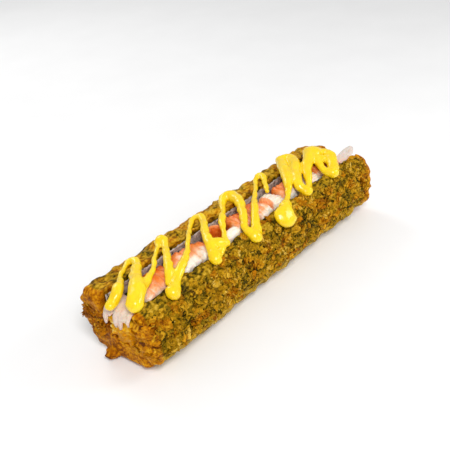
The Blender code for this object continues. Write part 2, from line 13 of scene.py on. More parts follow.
import bmesh
import bpy
import numpy as np
from mathutils import Matrix, Vector, noise
from mathutils.bvhtree import BVHTree

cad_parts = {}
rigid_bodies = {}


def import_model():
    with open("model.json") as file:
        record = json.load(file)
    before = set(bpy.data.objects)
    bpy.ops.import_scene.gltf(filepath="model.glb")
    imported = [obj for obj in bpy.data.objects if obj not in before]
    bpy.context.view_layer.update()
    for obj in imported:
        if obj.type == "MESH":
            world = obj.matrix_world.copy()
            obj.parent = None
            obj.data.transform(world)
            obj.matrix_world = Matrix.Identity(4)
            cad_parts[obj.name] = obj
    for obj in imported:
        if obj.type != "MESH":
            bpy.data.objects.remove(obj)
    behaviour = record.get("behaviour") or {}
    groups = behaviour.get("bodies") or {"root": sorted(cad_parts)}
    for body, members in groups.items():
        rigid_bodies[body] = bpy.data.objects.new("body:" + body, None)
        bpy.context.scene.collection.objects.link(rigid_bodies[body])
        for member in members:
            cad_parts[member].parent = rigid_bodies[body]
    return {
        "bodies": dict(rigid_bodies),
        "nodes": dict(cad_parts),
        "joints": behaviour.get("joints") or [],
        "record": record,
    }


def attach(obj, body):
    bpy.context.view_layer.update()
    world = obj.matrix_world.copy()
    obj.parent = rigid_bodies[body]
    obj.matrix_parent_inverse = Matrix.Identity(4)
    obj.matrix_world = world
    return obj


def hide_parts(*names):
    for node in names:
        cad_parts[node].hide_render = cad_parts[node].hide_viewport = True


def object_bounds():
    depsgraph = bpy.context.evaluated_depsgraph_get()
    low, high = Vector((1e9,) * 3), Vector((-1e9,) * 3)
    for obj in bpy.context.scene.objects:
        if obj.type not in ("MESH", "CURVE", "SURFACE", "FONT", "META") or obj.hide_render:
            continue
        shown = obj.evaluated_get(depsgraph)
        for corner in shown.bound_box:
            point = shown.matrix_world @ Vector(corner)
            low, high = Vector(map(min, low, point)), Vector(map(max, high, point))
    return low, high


MM = 0.001

# ---------------- the sizes of the solids

LENGTH = 180.0
WIDTH = 42.0
HEIGHT = 40.0
OUTLINE_POWERS = ((2.65, 2.6), (5.0, 3.5))   # how square the near and the far side are, at top and bottom
NEAR_END_ROUNDING = 3.5
FAR_END_ROUNDING = 6.5
END_LEAN = 0.15
END_LEAN_REACH = 50.0
NEAR_END_SKEW = 5.0
NEAR_END_DROOP = 3.0
NEAR_END_REACH = 8.0
FAR_END_SKEW = 13.0
FAR_END_DROOP = 1.5
FAR_END_STRETCH = 2.0
FAR_END_REACH = 30.0
BASE_FLAT = 0.5
BASE_FADE = 5.0
END_SPINE = 15.0
CRAG_SIZES = ((8.0, 0.6), (3.4, 0.85))
CORNER_CRUMB = (-86.0, 8.4, 3.4)
CORNER_CRUMB_RADII = (4.2, 3.4, 2.7)
SLOT_CENTRE = -2.3
SLOT_HALF_WIDTH = 9.1
SLOT_TOP = 39.0
SLOT_FLOOR = 12.5
SLOT_POWER = 2.6
RICE_TOP = 27.6
RICE_ENDS = (-88.6, 79.0)
RICE_RISES = ((-77.5, -1, 4.2), (72.8, 1, 5.0))
RICE_RISE_REACH = 4.0
NORI_THICKNESS = 0.8
NORI_BOTTOM = 28.2
NORI_TOP = 38.6
NORI_ENDS = (-86.5, 76.0)
NORI_WAVE = 0.35
NORI_INSET = 0.45
NORI_RAGGED = 0.5
FILLING_BASE = 28.2
FILLING_TOP = 40.2
# Shrimps: middle along and across, length, width, and turn in degrees.
SHRIMPS = (
    (-66.0, -2.9, 21.6, 14.9, 3.0),
    (-43.2, -2.9, 22.0, 14.6, -1.0),
    (-6.6, -2.6, 12.6, 13.6, -8.0),
    (6.2, -2.9, 11.0, 14.6, 6.0),
    (31.0, -3.2, 14.6, 13.2, -4.0),
    (63.0, -2.9, 18.0, 13.8, 4.0),
)
SHRIMP_HEIGHT = 10.5
SHRIMP_POWER = 3.4
SHRIMP_TIP = 0.7
SHRIMP_BLUNTNESS = 12
SHRIMP_TAPER = 0.12
SHRIMP_BEND = (0.5, 0.6)
SEGMENTS = 5
SEGMENT_CREASE = 0.06
CURLED_SHRIMP = (-23.6, -0.9, 4.1, 3.8)
CURL = (-75.0, 290.0)
CURL_STRETCH = (1.15, 0.9)
CURL_TIP = 0.3
CURL_HEIGHT = 11.4
CURL_LIFT = 0.2
# Thick pieces of crab stick: middle, size, and turn in degrees.
CRAB_CHUNKS = (
    ((-19.2, -8.4, 35.8), (9.8, 5.0, 9.8), 0.0),
    ((17.4, -3.6, 33.8), (9.5, 13.4, 10.6), 14.0),
    ((46.0, -4.2, 33.7), (14.0, 12.6, 10.4), -10.0),
)
# For each piece: how square it is, how deep its furrows are, how much it blushes and how much it swells.
CHUNK_LOOKS = ((2.8, 0.02, 0.0, 1.12), (3.4, 0.08, 0.3, 1.01), (3.4, 0.08, 0.25, 1.01))
ORANGE_STREAK = (13.2, -3.0, 2.3, 5.5)   # its middle along and across, and half its length and width
# Strips over the near mouth: place across at the rim and at the tip, height of the tip, and width.
HANGING_SHREDS = (
    (2.9, 4.9, 25.2, 2.8),
    (0.2, 0.7, 32.0, 3.2),
    (-2.6, -1.2, 25.7, 3.4),
    (-5.3, -3.6, 25.4, 3.3),
    (-7.3, -7.4, 31.8, 3.0),
    (-9.0, -9.4, 30.0, 3.0),
)
# Their way to the rim: how far inside the end, the share of the place across, and how high.
SHRED_ROUTE = ((11.0, 0.9, 34.6), (7.6, 0.95, 35.8), (3.7, 1.0, 35.9), (0.9, 1.0, 34.3))
SHRED_OUT = 0.4
SHRED_RUFFLE = 0.3
# Places along the route's points, and a strip's width at each as a share of its own.
FINE_SHRED_WIDTHS = ((0, 1, 2, 3, 4, 4.7, 5), (0.8, 1.1, 1.15, 1.1, 1.0, 0.85, 0.35))
FINE_SHRED_THICKNESS = 1.36
FAR_SHRED = (
    (73.4, -6.3, 34.7), (76.8, -6.6, 35.2), (80.5, -7.0, 36.7), (84.0, -7.0, 37.9), (86.8, -6.6, 38.5),
)
FAR_SHRED_WIDTHS = (5.0, 7.0, 7.4, 6.6, 3.2)
FAR_SHRED_SLIMMER = 0.96   # its widths as a share of the solid's
FAR_SHRED_THICKNESS = 1.75

# Sauce strands: place along, place across round the outline from its top, and width at each point.
STRANDS = (
    ((-90.5, -2.1, 4.9), (-85.2, -0.7, 5.7), (-80.7, 2.3, 4.2), (-75.5, 8.0, 2.6), (-68.3, 12.3, 2.7),
     (-64.8, 12.6, 4.0), (-65.4, 8.2, 4.5), (-72.5, 1.2, 5.5), (-79.0, -6.5, 7.6), (-84.7, -10.5, 7.7)),
    ((-78.5, -7.7, 4.8), (-71.0, -4.6, 4.0), (-64.0, -1.0, 2.8), (-57.6, 4.9, 2.4), (-50.5, 10.5, 2.3),
     (-46.0, 14.0, 4.2), (-44.2, 12.8, 4.6), (-47.5, 8.4, 3.7), (-52.5, 2.2, 3.7), (-58.6, -5.1, 4.5),
     (-64.9, -11.2, 3.2)),
    ((-67.3, -15.7, 7.2), (-62.0, -12.6, 4.5), (-55.4, -9.2, 4.5), (-48.5, -6.0, 3.6), (-42.0, -1.2, 2.5),
     (-35.5, 4.8, 2.5), (-28.5, 10.2, 2.5), (-22.5, 13.8, 3.0), (-19.6, 12.4, 3.8), (-22.0, 7.3, 3.9),
     (-28.3, 0.8, 4.2), (-33.7, -6.4, 4.8), (-38.7, -14.8, 6.3)),
    ((-34.5, -8.0, 5.0), (-31.0, -10.1, 5.5), (-27.6, -11.6, 4.8)),
    ((-29.5, -12.0, 3.4), (-33.0, -13.6, 3.0), (-36.5, -15.4, 2.6)),
    ((-27.6, -11.1, 4.4), (-23.5, -7.0, 2.4), (-19.0, -2.2, 3.8), (-14.0, 2.4, 3.5), (-9.1, 5.9, 2.5),
     (-4.0, 11.0, 4.2), (0.7, 12.5, 6.2), (2.4, 8.8, 6.3), (-1.4, 1.2, 5.2), (-7.5, -5.4, 4.3),
     (-13.0, -11.2, 3.9), (-12.6, -17.0, 6.8)),
    ((-10.5, -16.0, 5.4), (-5.0, -10.8, 4.5), (1.5, -5.2, 4.0), (8.0, 0.0, 2.9), (18.5, 7.8, 2.4),
     (24.5, 12.5, 2.8), (28.4, 13.6, 4.0), (28.6, 11.2, 4.1), (23.5, 5.4, 3.0), (17.6, -0.7, 2.4)),
    ((47.2, 13.2, 5.8), (37.5, 3.1, 6.0), (29.3, -4.9, 5.0), (21.4, -10.8, 2.7), (16.8, -13.0, 5.2),
     (12.8, -15.0, 8.0), (9.8, -17.2, 13.0)),
    ((47.2, 13.0, 5.8), (51.0, 11.2, 6.0), (48.8, 5.6, 6.2), (40.9, -1.4, 5.8), (33.5, -7.8, 5.4),
     (31.6, -12.2, 5.2), (33.0, -14.2, 6.0)),
    ((34.0, -14.1, 5.0), (39.0, -11.2, 3.6), (42.4, -7.6, 5.0), (50.0, -2.4, 6.2), (60.2, 2.1, 8.0)),
    ((60.2, 1.6, 7.0), (57.4, -3.4, 5.2), (54.2, -8.6, 4.0), (53.6, -11.4, 4.8), (55.8, -14.2, 7.0)),
    ((62.0, 4.6, 6.0), (66.2, 4.2, 5.6), (65.7, 0.0, 5.4), (66.1, -5.4, 6.0), (61.5, -10.2, 6.2),
     (57.6, -13.6, 6.6)),
)
# Drops: place along, place across, size along and across.
DROPS = (
    (-45.4, 13.0, 6.2, 5.0),
    (60.8, 2.0, 11.0, 10.4),
    (59.9, -4.9, 5.6, 5.4),
    (61.6, -8.2, 5.4, 5.0),
)
TIGHT_TURN = 1.7
STRAND_FLATNESS = 0.86
STRAND_LEAST_HEIGHT = 2.2
STRAND_MOST_HEIGHT = 6.8
STRAND_SINK = 0.6
STRAND_BRIDGE = 0.9

# ---------------- how fine the looks are

OUTLINE_STEPS = 720
CRUST_SIDES = 120
CRUST_STEP = 1.6
CRUST_VOXEL = 0.68
SLOT_SIDES = 24
SAUCE_SIDES = 20
SAUCE_STEP = 1.0
SAUCE_VOXEL = 0.42
FLESH_SIDES = 48
FLESH_STEP = 0.45
CURL_STATIONS = 72
RIBBON_SIDES = 28
RIBBON_STEP = 0.4
NORI_STATIONS = 300
NORI_ROWS = 14
RICE_STATIONS = 120
RICE_GAP = -0.3          # less than zero, as the bed reaches into the slot's walls
RICE_INSETS = (0.9, 1.0)   # how far the bed's near and far end lie inside its grains
RICE_SINK = 0.6          # how far the bed's top lies below the solid's
RICE_FADE = 14.0
RICE_VOXEL = 0.5
MOUTH_GRAINS = 84
GRAIN_RADII = (3.0, 1.3, 1.2)
GRAIN_CLEARANCE = 1.7
GOLDEN_SHARE = 0.618     # spreads the grains' heights evenly

# The crust's relief and where it changes.
CRUST_DEPTH = 1.5
RELIEF_LEVEL = 0.62      # relief higher than this stands out of the crust, and the rest is pressed in
NEAR_FACE = -85.5        # the crust is fried brown short of here
FAR_FACE = 80.0          # and past here
FAR_RIM = 78.0           # it has few crumbs past here
LIP_BOTTOM = 32.5        # in patches above this
FAR_WALL = 5.0           # and on the far wall's top, further across than this
CRUMB_SAUCE_GAP = 0.5

# ---------------- camera and light

CAMERA_PLACE = (-220.644, -194.415, 228.688)
CAMERA_RIGHT = (0.656646, -0.751977, -0.057849)
CAMERA_UP = (0.453147, 0.332057, 0.827283)
CAMERA_FORWARD = (0.602888, 0.569446, -0.558800)
SENSOR = 36.0
LENS = 56.0
FLOOR_SIZE = 6000.0
FLOOR_DROP = 0.02        # how far below the roll the floor lies
LIT_PLACE = (0, 0, 20)
# Lights: name, place, size and watts.
LIGHTS = (
    ("key", (-300, -380, 620), 260, 3.6),
    ("fill", (420, -420, 380), 260, 1.2),
    ("back", (60, 520, 420), 300, 1.0),
)
BACKDROP_STRENGTH = 0.5

# The near-black crust colour is painted shade in the pits of the relief and the gaps between crumb heaps.
CRUST_PIT_SHADE = (0.020, 0.014, 0.001)
CRUST_OLIVE = (0.120, 0.078, 0.003)
CRUST_GOLD = (0.380, 0.215, 0.006)
CRUST_TAN = (0.580, 0.360, 0.035)
FRIED_DARK = (0.140, 0.036, 0.001)
FRIED_BROWN = (0.360, 0.108, 0.001)
FRIED_ORANGE = (0.570, 0.220, 0.002)
FRIED_AMBER = (0.740, 0.390, 0.014)
# Painted shade: darker copies of the white crab stick, for the strips over the near mouth and, greyer and
# bluer, for the far blade.
NEAR_SHREDS_SHADE = (0.89, 0.79, 0.78)
FAR_SHRED_SHADE = (0.79, 0.80, 0.88)
MOIST = {"Subsurface_Scale": 1.2 * MM, "Specular_IOR_Level": 0.4}


# ---------------- small helpers

def smooth(value):
    """Ease from 0 to 1."""
    value = min(max(value, 0.0), 1.0)
    return value * value * (3 - 2 * value)


def squarer(part, power):
    """Bend a sine or cosine so that the circle it draws becomes squarer."""
    return math.copysign(abs(part) ** (2 / power), part)


def quarter_turn(degrees):
    """How far out and up a round corner of radius 1 is after so much of its turn."""
    return math.sin(math.radians(degrees)), math.cos(math.radians(degrees))


def rise(values, start, reach):
    """Go evenly from 0 at the start to 1 over the reach after it."""
    return np.clip((values - start) / reach, 0, 1)


def fall(values, end, reach):
    """Go evenly from 1 to 0 at the end, over the reach before it."""
    return np.clip((end - values) / reach, 0, 1)


def add_object(name, mesh, material):
    mesh.materials.clear()
    mesh.materials.append(material)
    item = bpy.data.objects.new(name, mesh)
    bpy.context.scene.collection.objects.link(item)
    return item


def make_object(name, builder, material):
    """Turn a bmesh in millimetres into an object in metres, smooth and with its faces turned out."""
    builder.normal_update()
    bmesh.ops.recalc_face_normals(builder, faces=builder.faces)
    bmesh.ops.scale(builder, vec=(MM, MM, MM), verts=builder.verts)
    mesh = bpy.data.meshes.new(name)
    builder.to_mesh(mesh)
    builder.free()
    mesh.shade_smooth()
    return add_object(name, mesh, material)


def loft(rings, first_tip=None, last_tip=None, builder=None):
    """Join rings of points one after the other; each end is a flat face, or runs to a tip."""
    builder = bmesh.new() if builder is None else builder
    loops = [[builder.verts.new(point) for point in ring] for ring in rings]
    for lower, upper in zip(loops, loops[1:]):
        for index, corner in enumerate(lower):
            following = (index + 1) % len(lower)
            builder.faces.new((corner, lower[following], upper[following], upper[index]))
    for loop, tip in ((loops[0], first_tip), (loops[-1], last_tip)):
        if tip is None:
            builder.faces.new(loop)
            continue
        point = builder.verts.new(tip)
        for index, corner in enumerate(loop):
            builder.faces.new((corner, loop[(index + 1) % len(loop)], point))
    return builder


def apply_modifier(item, kind, **settings):
    modifier = item.modifiers.new(kind, kind)
    for name, value in settings.items():
        setattr(modifier, name, value)
    with bpy.context.temp_override(object=item, active_object=item, selected_objects=[item]):
        bpy.ops.object.modifier_apply(modifier=modifier.name)


def join(items):
    """Put the meshes of several objects into the first one, and remove the others."""
    builder = bmesh.new()
    for item in items:
        builder.from_mesh(item.data)
    builder.to_mesh(items[0].data)
    builder.free()
    for item in items[1:]:
        bpy.data.objects.remove(item, do_unlink=True)
    return items[0]


def melt(item, voxel, rounds):
    """Rebuild an object as one even skin and soften it."""
    apply_modifier(item, "REMESH", mode="VOXEL", voxel_size=voxel * MM)
    apply_modifier(item, "SMOOTH", factor=0.5, iterations=rounds)
    item.data.shade_smooth()


def read_rows(items, name, width=3):
    """One property of all of a mesh's points or faces, as rows of numbers."""
    values = np.empty(len(items) * width)
    items.foreach_get(name, values)
    return values.reshape(-1, width)


def read_points(mesh):
    """A mesh's points and normals, the points in millimetres."""
    return read_rows(mesh.vertices, "co") / MM, read_rows(mesh.vertex_normals, "vector")


def read_faces(mesh):
    """The middles, normals and areas of a mesh's faces, the middles in millimetres."""
    faces = mesh.polygons
    return read_rows(faces, "center") / MM, read_rows(faces, "normal"), read_rows(faces, "area", 1)[:, 0]


def write_points(mesh, points):
    mesh.vertices.foreach_set("co", (points * MM).ravel())
    mesh.update()


def add_value(mesh, name, values):
    """Store one number for each point, for the material to read."""
    attribute = mesh.attributes.new(name, "FLOAT", "POINT")
    attribute.data.foreach_set("value", np.asarray(values, dtype=np.float32))


def smooth_path(points, step):
    """Run a smooth curve through rows of numbers and read it at even steps."""
    rows = [Vector(points[0]) * 2 - Vector(points[1])]
    rows += [Vector(point) for point in points]
    rows.append(Vector(points[-1]) * 2 - Vector(points[-2]))
    path = [rows[1]]
    for before, start, end, after in zip(rows, rows[1:], rows[2:], rows[3:]):
        count = max(1, round((end - start).xy.length / step))
        for index in range(1, count + 1):
            t = index / count
            path.append(0.5 * (2 * start + (end - before) * t
                               + (2 * before - 5 * start + 4 * end - after) * t ** 2
                               + (3 * start - before - 3 * end + after) * t ** 3))
    return path


def heading(path, index):
    """The direction of a path at one of its points."""
    return (path[min(index + 1, len(path) - 1)] - path[max(index - 1, 0)]).normalized()


def wobble(point, wavelength, seed=0.0):
    """Smooth noise of about -1 to 1 at a point."""
    return 1.6 * noise.noise(Vector(point) / wavelength + Vector((seed, 0.0, 0.0)))


# ---------------- materials

class Paint:
    """A Principled material under construction, with textures that are measured in millimetres."""

    def __init__(self, name, roughness, **constants):
        self.material = bpy.data.materials.new(name)
        self.material.use_nodes = True
        self.tree = self.material.node_tree
        self.shader = self.tree.nodes["Principled BSDF"]
        self.shader.inputs["Roughness"].default_value = roughness
        for socket, value in constants.items():
            self.shader.inputs[socket.replace("_", " ")].default_value = value
        place = self.tree.nodes.new("ShaderNodeTexCoord").outputs["Object"]
        scale = {"Vector": place, "Scale": 1 / MM}
        self.place = self.node("ShaderNodeVectorMath", scale, operation="SCALE").outputs[0]

    def node(self, kind, inputs, **settings):
        made = self.tree.nodes.new(kind)
        for name, value in settings.items():
            setattr(made, name, value)
        for name, value in inputs.items():
            if isinstance(value, bpy.types.NodeSocket):
                self.tree.links.new(value, made.inputs[name])
            else:
                made.inputs[name].default_value = value
        return made

    def noise(self, wavelength, detail=2.0, stretch=(1, 1, 1), roughness=0.5):
        place = self.node("ShaderNodeMapping", {"Vector": self.place, "Scale": stretch}).outputs[0]
        return self.node("ShaderNodeTexNoise", {"Vector": place, "Scale": 1 / wavelength, "Detail": detail,
                                                "Roughness": roughness}).outputs["Fac"]

    def value(self, name):
        return self.node("ShaderNodeAttribute", {}, attribute_name=name).outputs["Fac"]

    def math(self, operation, first, second):
        return self.node("ShaderNodeMath", {0: first, 1: second}, operation=operation).outputs[0]

    def swing(self, value, size):
        """Turn a value about 0.5 into one about 0, this many times as large."""
        return self.math("MULTIPLY", self.math("SUBTRACT", value, 0.5), size)

    def spread(self, value, low, high):
        """Stretch a value so that low becomes 0 and high becomes 1."""
        return self.node("ShaderNodeMapRange", {"Value": value, "From Min": low, "From Max": high},
                         interpolation_type="SMOOTHSTEP").outputs[0]

    def ramp(self, value, *stops):
        made = self.node("ShaderNodeValToRGB", {"Fac": value})
        elements = made.color_ramp.elements
        while len(elements) < len(stops):
            elements.new(0.5)
        for element, (position, colour) in zip(elements, stops):
            element.position = position
            element.color = (*colour, 1.0)
        return made.outputs["Color"]

    def mix(self, share, first, second):
        """Blend two colours, each a socket or a triple."""
        first, second = [(*part, 1.0) if isinstance(part, tuple) else part for part in (first, second)]
        return self.node("ShaderNodeMix", {0: share, 6: first, 7: second}, data_type="RGBA").outputs[2]

    def colour(self, socket):
        self.tree.links.new(socket, self.shader.inputs["Base Color"])

    def roughness(self, value, low, high):
        made = self.node("ShaderNodeMapRange", {"Value": value, "To Min": low, "To Max": high})
        self.tree.links.new(made.outputs[0], self.shader.inputs["Roughness"])

    def bump(self, height, depth):
        made = self.node("ShaderNodeBump", {"Height": height, "Distance": depth * MM, "Strength": 1.0})
        self.tree.links.new(made.outputs["Normal"], self.shader.inputs["Normal"])


def paint_crust():
    paint = Paint("crust", 0.5, Specular_IOR_Level=0.045)
    # The 'height' value is the relief's lightness, with painted shade inside the slot and at the feet of the
    # crumb heaps.
    height = paint.value("height")
    fried = paint.value("fried")
    streaks = paint.noise(1.2, 3.0, stretch=(0.55, 1.0, 1.0))
    grain = paint.math("ADD", height, paint.swing(streaks, 1.5))
    olive = paint.ramp(grain, (0.12, CRUST_PIT_SHADE), (0.36, CRUST_OLIVE), (0.62, CRUST_GOLD), (0.95, CRUST_TAN))
    brown = paint.ramp(grain, (0.06, FRIED_DARK), (0.32, FRIED_BROWN), (0.60, FRIED_ORANGE),
                       (0.95, FRIED_AMBER))
    patch = paint.spread(paint.math("ADD", fried, paint.noise(7.0, 3.0)), 0.55, 0.95)
    paint.colour(paint.mix(patch, olive, brown))
    paint.roughness(paint.noise(2.2, 2.0), 0.36, 0.66)
    paint.bump(paint.noise(0.8, 4.0), 0.35)
    return paint.material


def paint_crumbs():
    paint = Paint("crumbs", 0.5, Specular_IOR_Level=0.045)
    tone = paint.value("tone")
    fried = paint.value("fried")
    olive = paint.ramp(tone, (0.0, (0.070, 0.048, 0.002)), (0.20, (0.170, 0.110, 0.003)),
                       (0.42, (0.370, 0.215, 0.005)), (0.64, (0.540, 0.295, 0.008)),
                       (0.84, (0.620, 0.340, 0.014)), (0.95, (0.660, 0.390, 0.030)),
                       (1.0, (0.740, 0.490, 0.080)))
    brown = paint.ramp(tone, (0.0, FRIED_DARK), (0.35, FRIED_BROWN), (0.75, FRIED_ORANGE), (1.0, FRIED_AMBER))
    body = paint.mix(fried, olive, brown)
    shade = paint.ramp(paint.noise(0.9, 3.0), (0.30, (0.55, 0.5, 0.42)), (0.62, (1.0, 1.0, 1.0)))
    made = paint.node("ShaderNodeVectorMath", {0: body, 1: shade}, operation="MULTIPLY")
    paint.colour(made.outputs[0])
    paint.bump(paint.noise(0.5, 3.0), 0.2)
    return paint.material


def paint_sauce():
    paint = Paint("sauce", 0.25, Subsurface_Weight=0.3, Subsurface_Radius=(1.0, 0.7, 0.15), Coat_Weight=0.15,
                  Coat_Roughness=0.1, **MOIST)
    paint.colour(paint.ramp(paint.noise(6.0, 2.0), (0.3, (0.86, 0.57, 0.003)), (0.7, (0.91, 0.66, 0.008))))
    paint.bump(paint.noise(1.6, 1.0), 0.05)
    return paint.material


def paint_rice():
    paint = Paint("rice", 0.4, Subsurface_Weight=0.2, Subsurface_Scale=1.0 * MM, Specular_IOR_Level=0.05,
                  Subsurface_Radius=(1.0, 0.6, 0.15))
    tone = paint.math("ADD", paint.value("cream"), paint.swing(paint.noise(2.4, 2.0), 1.7))
    paint.colour(paint.ramp(tone, (0.10, (0.56, 0.22, 0.002)), (0.40, (0.72, 0.34, 0.005)),
                            (0.68, (0.80, 0.47, 0.025)), (1.00, (0.88, 0.74, 0.36))))
    paint.bump(paint.noise(1.2, 2.0), 0.12)
    return paint.material


def paint_nori():
    paint = Paint("nori", 0.42, Specular_IOR_Level=0.6)
    # The near-black stop is the seaweed's own colour; the grey-lilac stops are painted sheen, light
    # reflecting off the wet sheet.
    dark_and_sheen_mottle = paint.noise(1.8, 4.0, roughness=0.65)
    paint.colour(paint.ramp(dark_and_sheen_mottle, (0.34, (0.050, 0.042, 0.036)), (0.44, (0.340, 0.290, 0.260)),
                            (0.62, (0.620, 0.550, 0.510))))
    paint.bump(paint.noise(0.9, 4.0), 0.3)
    return paint.material


def paint_shrimp():
    paint = Paint("shrimp", 0.34, Subsurface_Weight=0.15, Coat_Weight=0.15, Coat_Roughness=0.15, **MOIST)
    blotched = paint.math("ADD", paint.value("back"), paint.swing(paint.noise(5.0, 3.0), 1.5))
    tone = paint.math("ADD", blotched, paint.math("MULTIPLY", paint.value("edge"), 0.22))
    flesh = paint.ramp(tone, (0.10, (0.90, 0.82, 0.71)), (0.30, (0.92, 0.62, 0.44)),
                       (0.48, (0.90, 0.38, 0.17)), (0.66, (0.88, 0.28, 0.06)),
                       (0.90, (0.82, 0.20, 0.02)), (1.0, (0.70, 0.13, 0.01)))
    streak = paint.spread(paint.noise(1.3, 3.0, stretch=(1.0, 0.35, 1.0)), 0.64, 0.78)
    paint.colour(paint.mix(streak, flesh, (0.92, 0.58, 0.40)))
    paint.bump(paint.noise(0.8, 3.0, stretch=(1.0, 0.4, 1.0)), 0.22)
    return paint.material


def paint_crab(name, painted_shade):
    """White crab stick, with a colour of painted shade multiplied in."""
    paint = Paint(name, 0.36, Subsurface_Weight=0.2, Coat_Weight=0.1, Coat_Roughness=0.2, **MOIST)
    fibre = paint.noise(1.0, 3.0, stretch=(0.25, 1.0, 1.0))
    fresh = ((0.30, (0.80, 0.62, 0.48)), (0.50, (0.89, 0.78, 0.64)), (0.72, (0.93, 0.87, 0.77)))
    # The fibres' colours darkened by the painted shade.
    shaded_fibres = [(stop, tuple(a * b for a, b in zip(colour, painted_shade))) for stop, colour in fresh]
    body = paint.ramp(fibre, *shaded_fibres)
    paint.colour(paint.mix(paint.value("blush"), body, (0.90, 0.31, 0.10)))
    paint.bump(fibre, 0.35)
    return paint.material


def paint_floor():
    paint = Paint("floor", 0.7, Specular_IOR_Level=0.2)
    paint.colour(paint.ramp(paint.noise(40.0, 2.0), (0.3, (0.90, 0.90, 0.90)), (0.7, (0.92, 0.92, 0.92))))
    return paint.material


# ---------------- the roll's outline

def outline_at(angle):
    """A point of the cross-section, whose four quarters differ in squareness."""
    c, s = math.cos(angle), math.sin(angle)
    power = OUTLINE_POWERS[c >= 0][s <= 0]
    return Vector((0, WIDTH / 2 * squarer(c, power), HEIGHT / 2 + HEIGHT / 2 * squarer(s, power)))


def measure_outline():
    """Points round the cross-section from its top by way of the near side, with their distance so far."""
    turns = [math.pi / 2 + math.tau * index / OUTLINE_STEPS for index in range(OUTLINE_STEPS + 1)]
    points = [outline_at(turn) for turn in turns]
    distances = [0.0]
    for before, after in zip(points, points[1:]):
        distances.append(distances[-1] + (after - before).length)
    return points, distances


OUTLINE, OUTLINE_DISTANCES = measure_outline()
GIRTH = OUTLINE_DISTANCES[-1]


def on_outline(across):
    """The point that lies this far round the outline from its top; less than zero is the near side."""
    distance = -across % GIRTH
    index = next(i for i, reached in enumerate(OUTLINE_DISTANCES) if reached >= distance)
    if index == 0:
        return OUTLINE[0].copy()
    start, end = OUTLINE_DISTANCES[index - 1], OUTLINE_DISTANCES[index]
    return OUTLINE[index - 1].lerp(OUTLINE[index], (distance - start) / (end - start))


def outward(across):
    """The direction that points out of the outline there."""
    along = on_outline(across + 0.8) - on_outline(across - 0.8)
    return Vector((0, -along.z, along.y)).normalized()


def far_end(x):
    """How far along the bent far end a place is, from 0 to 1."""
    return smooth((x - LENGTH / 2 + FAR_END_REACH) / FAR_END_REACH)


def mouth_shift(y, z):
    """How far along the skewed and leaning near end lies there, for an upright, square one."""
    return NEAR_END_SKEW * (WIDTH / 2 - y) / WIDTH - END_LEAN * (z - HEIGHT / 2)


def far_shift(y):
    """How far short the skewed far end stops there."""
    return FAR_END_SKEW * (y + WIDTH / 2) / WIDTH


def bend_ends(point):
    """Lean and skew the near end, and skew, stretch and lower the far end."""
    x, y, z = point
    near = smooth((END_LEAN_REACH - LENGTH / 2 - x) / END_LEAN_REACH)
    far = far_end(x)
    x += near * mouth_shift(y, z)
    x += far * (FAR_END_STRETCH - far_shift(y))
    z -= far * FAR_END_DROOP * smooth(z / HEIGHT)
    return Vector((x, y, z))


def crag(point):
    """Height of the crust's relief at a point."""
    return sum(height * noise.noise(point / size) * 2 for size, height in CRAG_SIZES)


def slot_half_width(z):
    """The slot's half width at a height, or at each of many."""
    depth = fall(z, SLOT_TOP, SLOT_TOP - SLOT_FLOOR)
    return SLOT_HALF_WIDTH * (1 - depth ** SLOT_POWER) ** (1 / SLOT_POWER)


def slot_ring(x, top, clearance=0.0):
    """A U-shaped section of the slot, closed along its top."""
    floor = SLOT_FLOOR + clearance
    side = []
    steps = SLOT_SIDES // 2
    for index in range(steps):
        z = floor + (min(top, SLOT_TOP) - floor) * (1 - math.cos(math.pi / 2 * (index + 0.5) / steps))
        side.append((slot_half_width(z - clearance) - clearance, z))
    side.append((slot_half_width(SLOT_TOP if top > SLOT_TOP else top) - clearance, top))
    far_side = [Vector((x, SLOT_CENTRE + half, z)) for half, z in reversed(side)]
    near_side = [Vector((x, SLOT_CENTRE - half, z)) for half, z in side]
    return far_side + [Vector((x, SLOT_CENTRE, floor))] + near_side


# ---------------- crust

def crust_stations():
    """Places along the roll, with how far the outline is drawn in at each."""
    start = NEAR_END_ROUNDING - LENGTH / 2
    end = LENGTH / 2 - FAR_END_ROUNDING
    count = round((end - start) / CRUST_STEP)
    stations = [(start + (end - start) * index / count, 0.0) for index in range(count + 1)]
    for turn in range(15, 91, 15):
        out, up = quarter_turn(turn)
        stations.append((end + FAR_END_ROUNDING * out, FAR_END_ROUNDING * (1 - up)))
        stations.insert(0, (start - NEAR_END_ROUNDING * out, NEAR_END_ROUNDING * (1 - up)))
    for inset in (8.0, 11.0, 14.0, 17.0):
        stations.append((LENGTH / 2, inset))
        stations.insert(0, (-LENGTH / 2, inset))
    return stations


def crust_ring(x, inset):
    centre = Vector((0, 0, HEIGHT / 2))
    shrink = 1 - inset / (WIDTH / 2)
    spine = Vector((min(max(x, END_SPINE - LENGTH / 2), LENGTH / 2 - END_SPINE), 0, HEIGHT / 2))
    ring = []
    for outline_point in CRUST_OUTLINE:
        point = centre + (outline_point - centre) * shrink
        point.x = x
        point += (point - spine).normalized() * crag(point) * smooth(point.z / BASE_FADE)
        point = bend_ends(point)
        if point.z < BASE_FLAT:
            point.z = 0.0
        ring.append(point)
    return ring


CRUST_OUTLINE = [on_outline(-GIRTH * index / CRUST_SIDES) for index in range(CRUST_SIDES)]


def make_crumb_lump(material):
    builder = bmesh.new()
    bmesh.ops.create_icosphere(builder, subdivisions=4, radius=1.0)
    for vertex in builder.verts:
        vertex.co *= 1 + 0.5 * noise.noise(vertex.co * 2) + 0.1 * noise.noise(vertex.co * 6)
        vertex.co = Vector(CORNER_CRUMB) + Vector(a * b for a, b in zip(vertex.co, CORNER_CRUMB_RADII))
    return make_object("crumb_lump", builder, material)


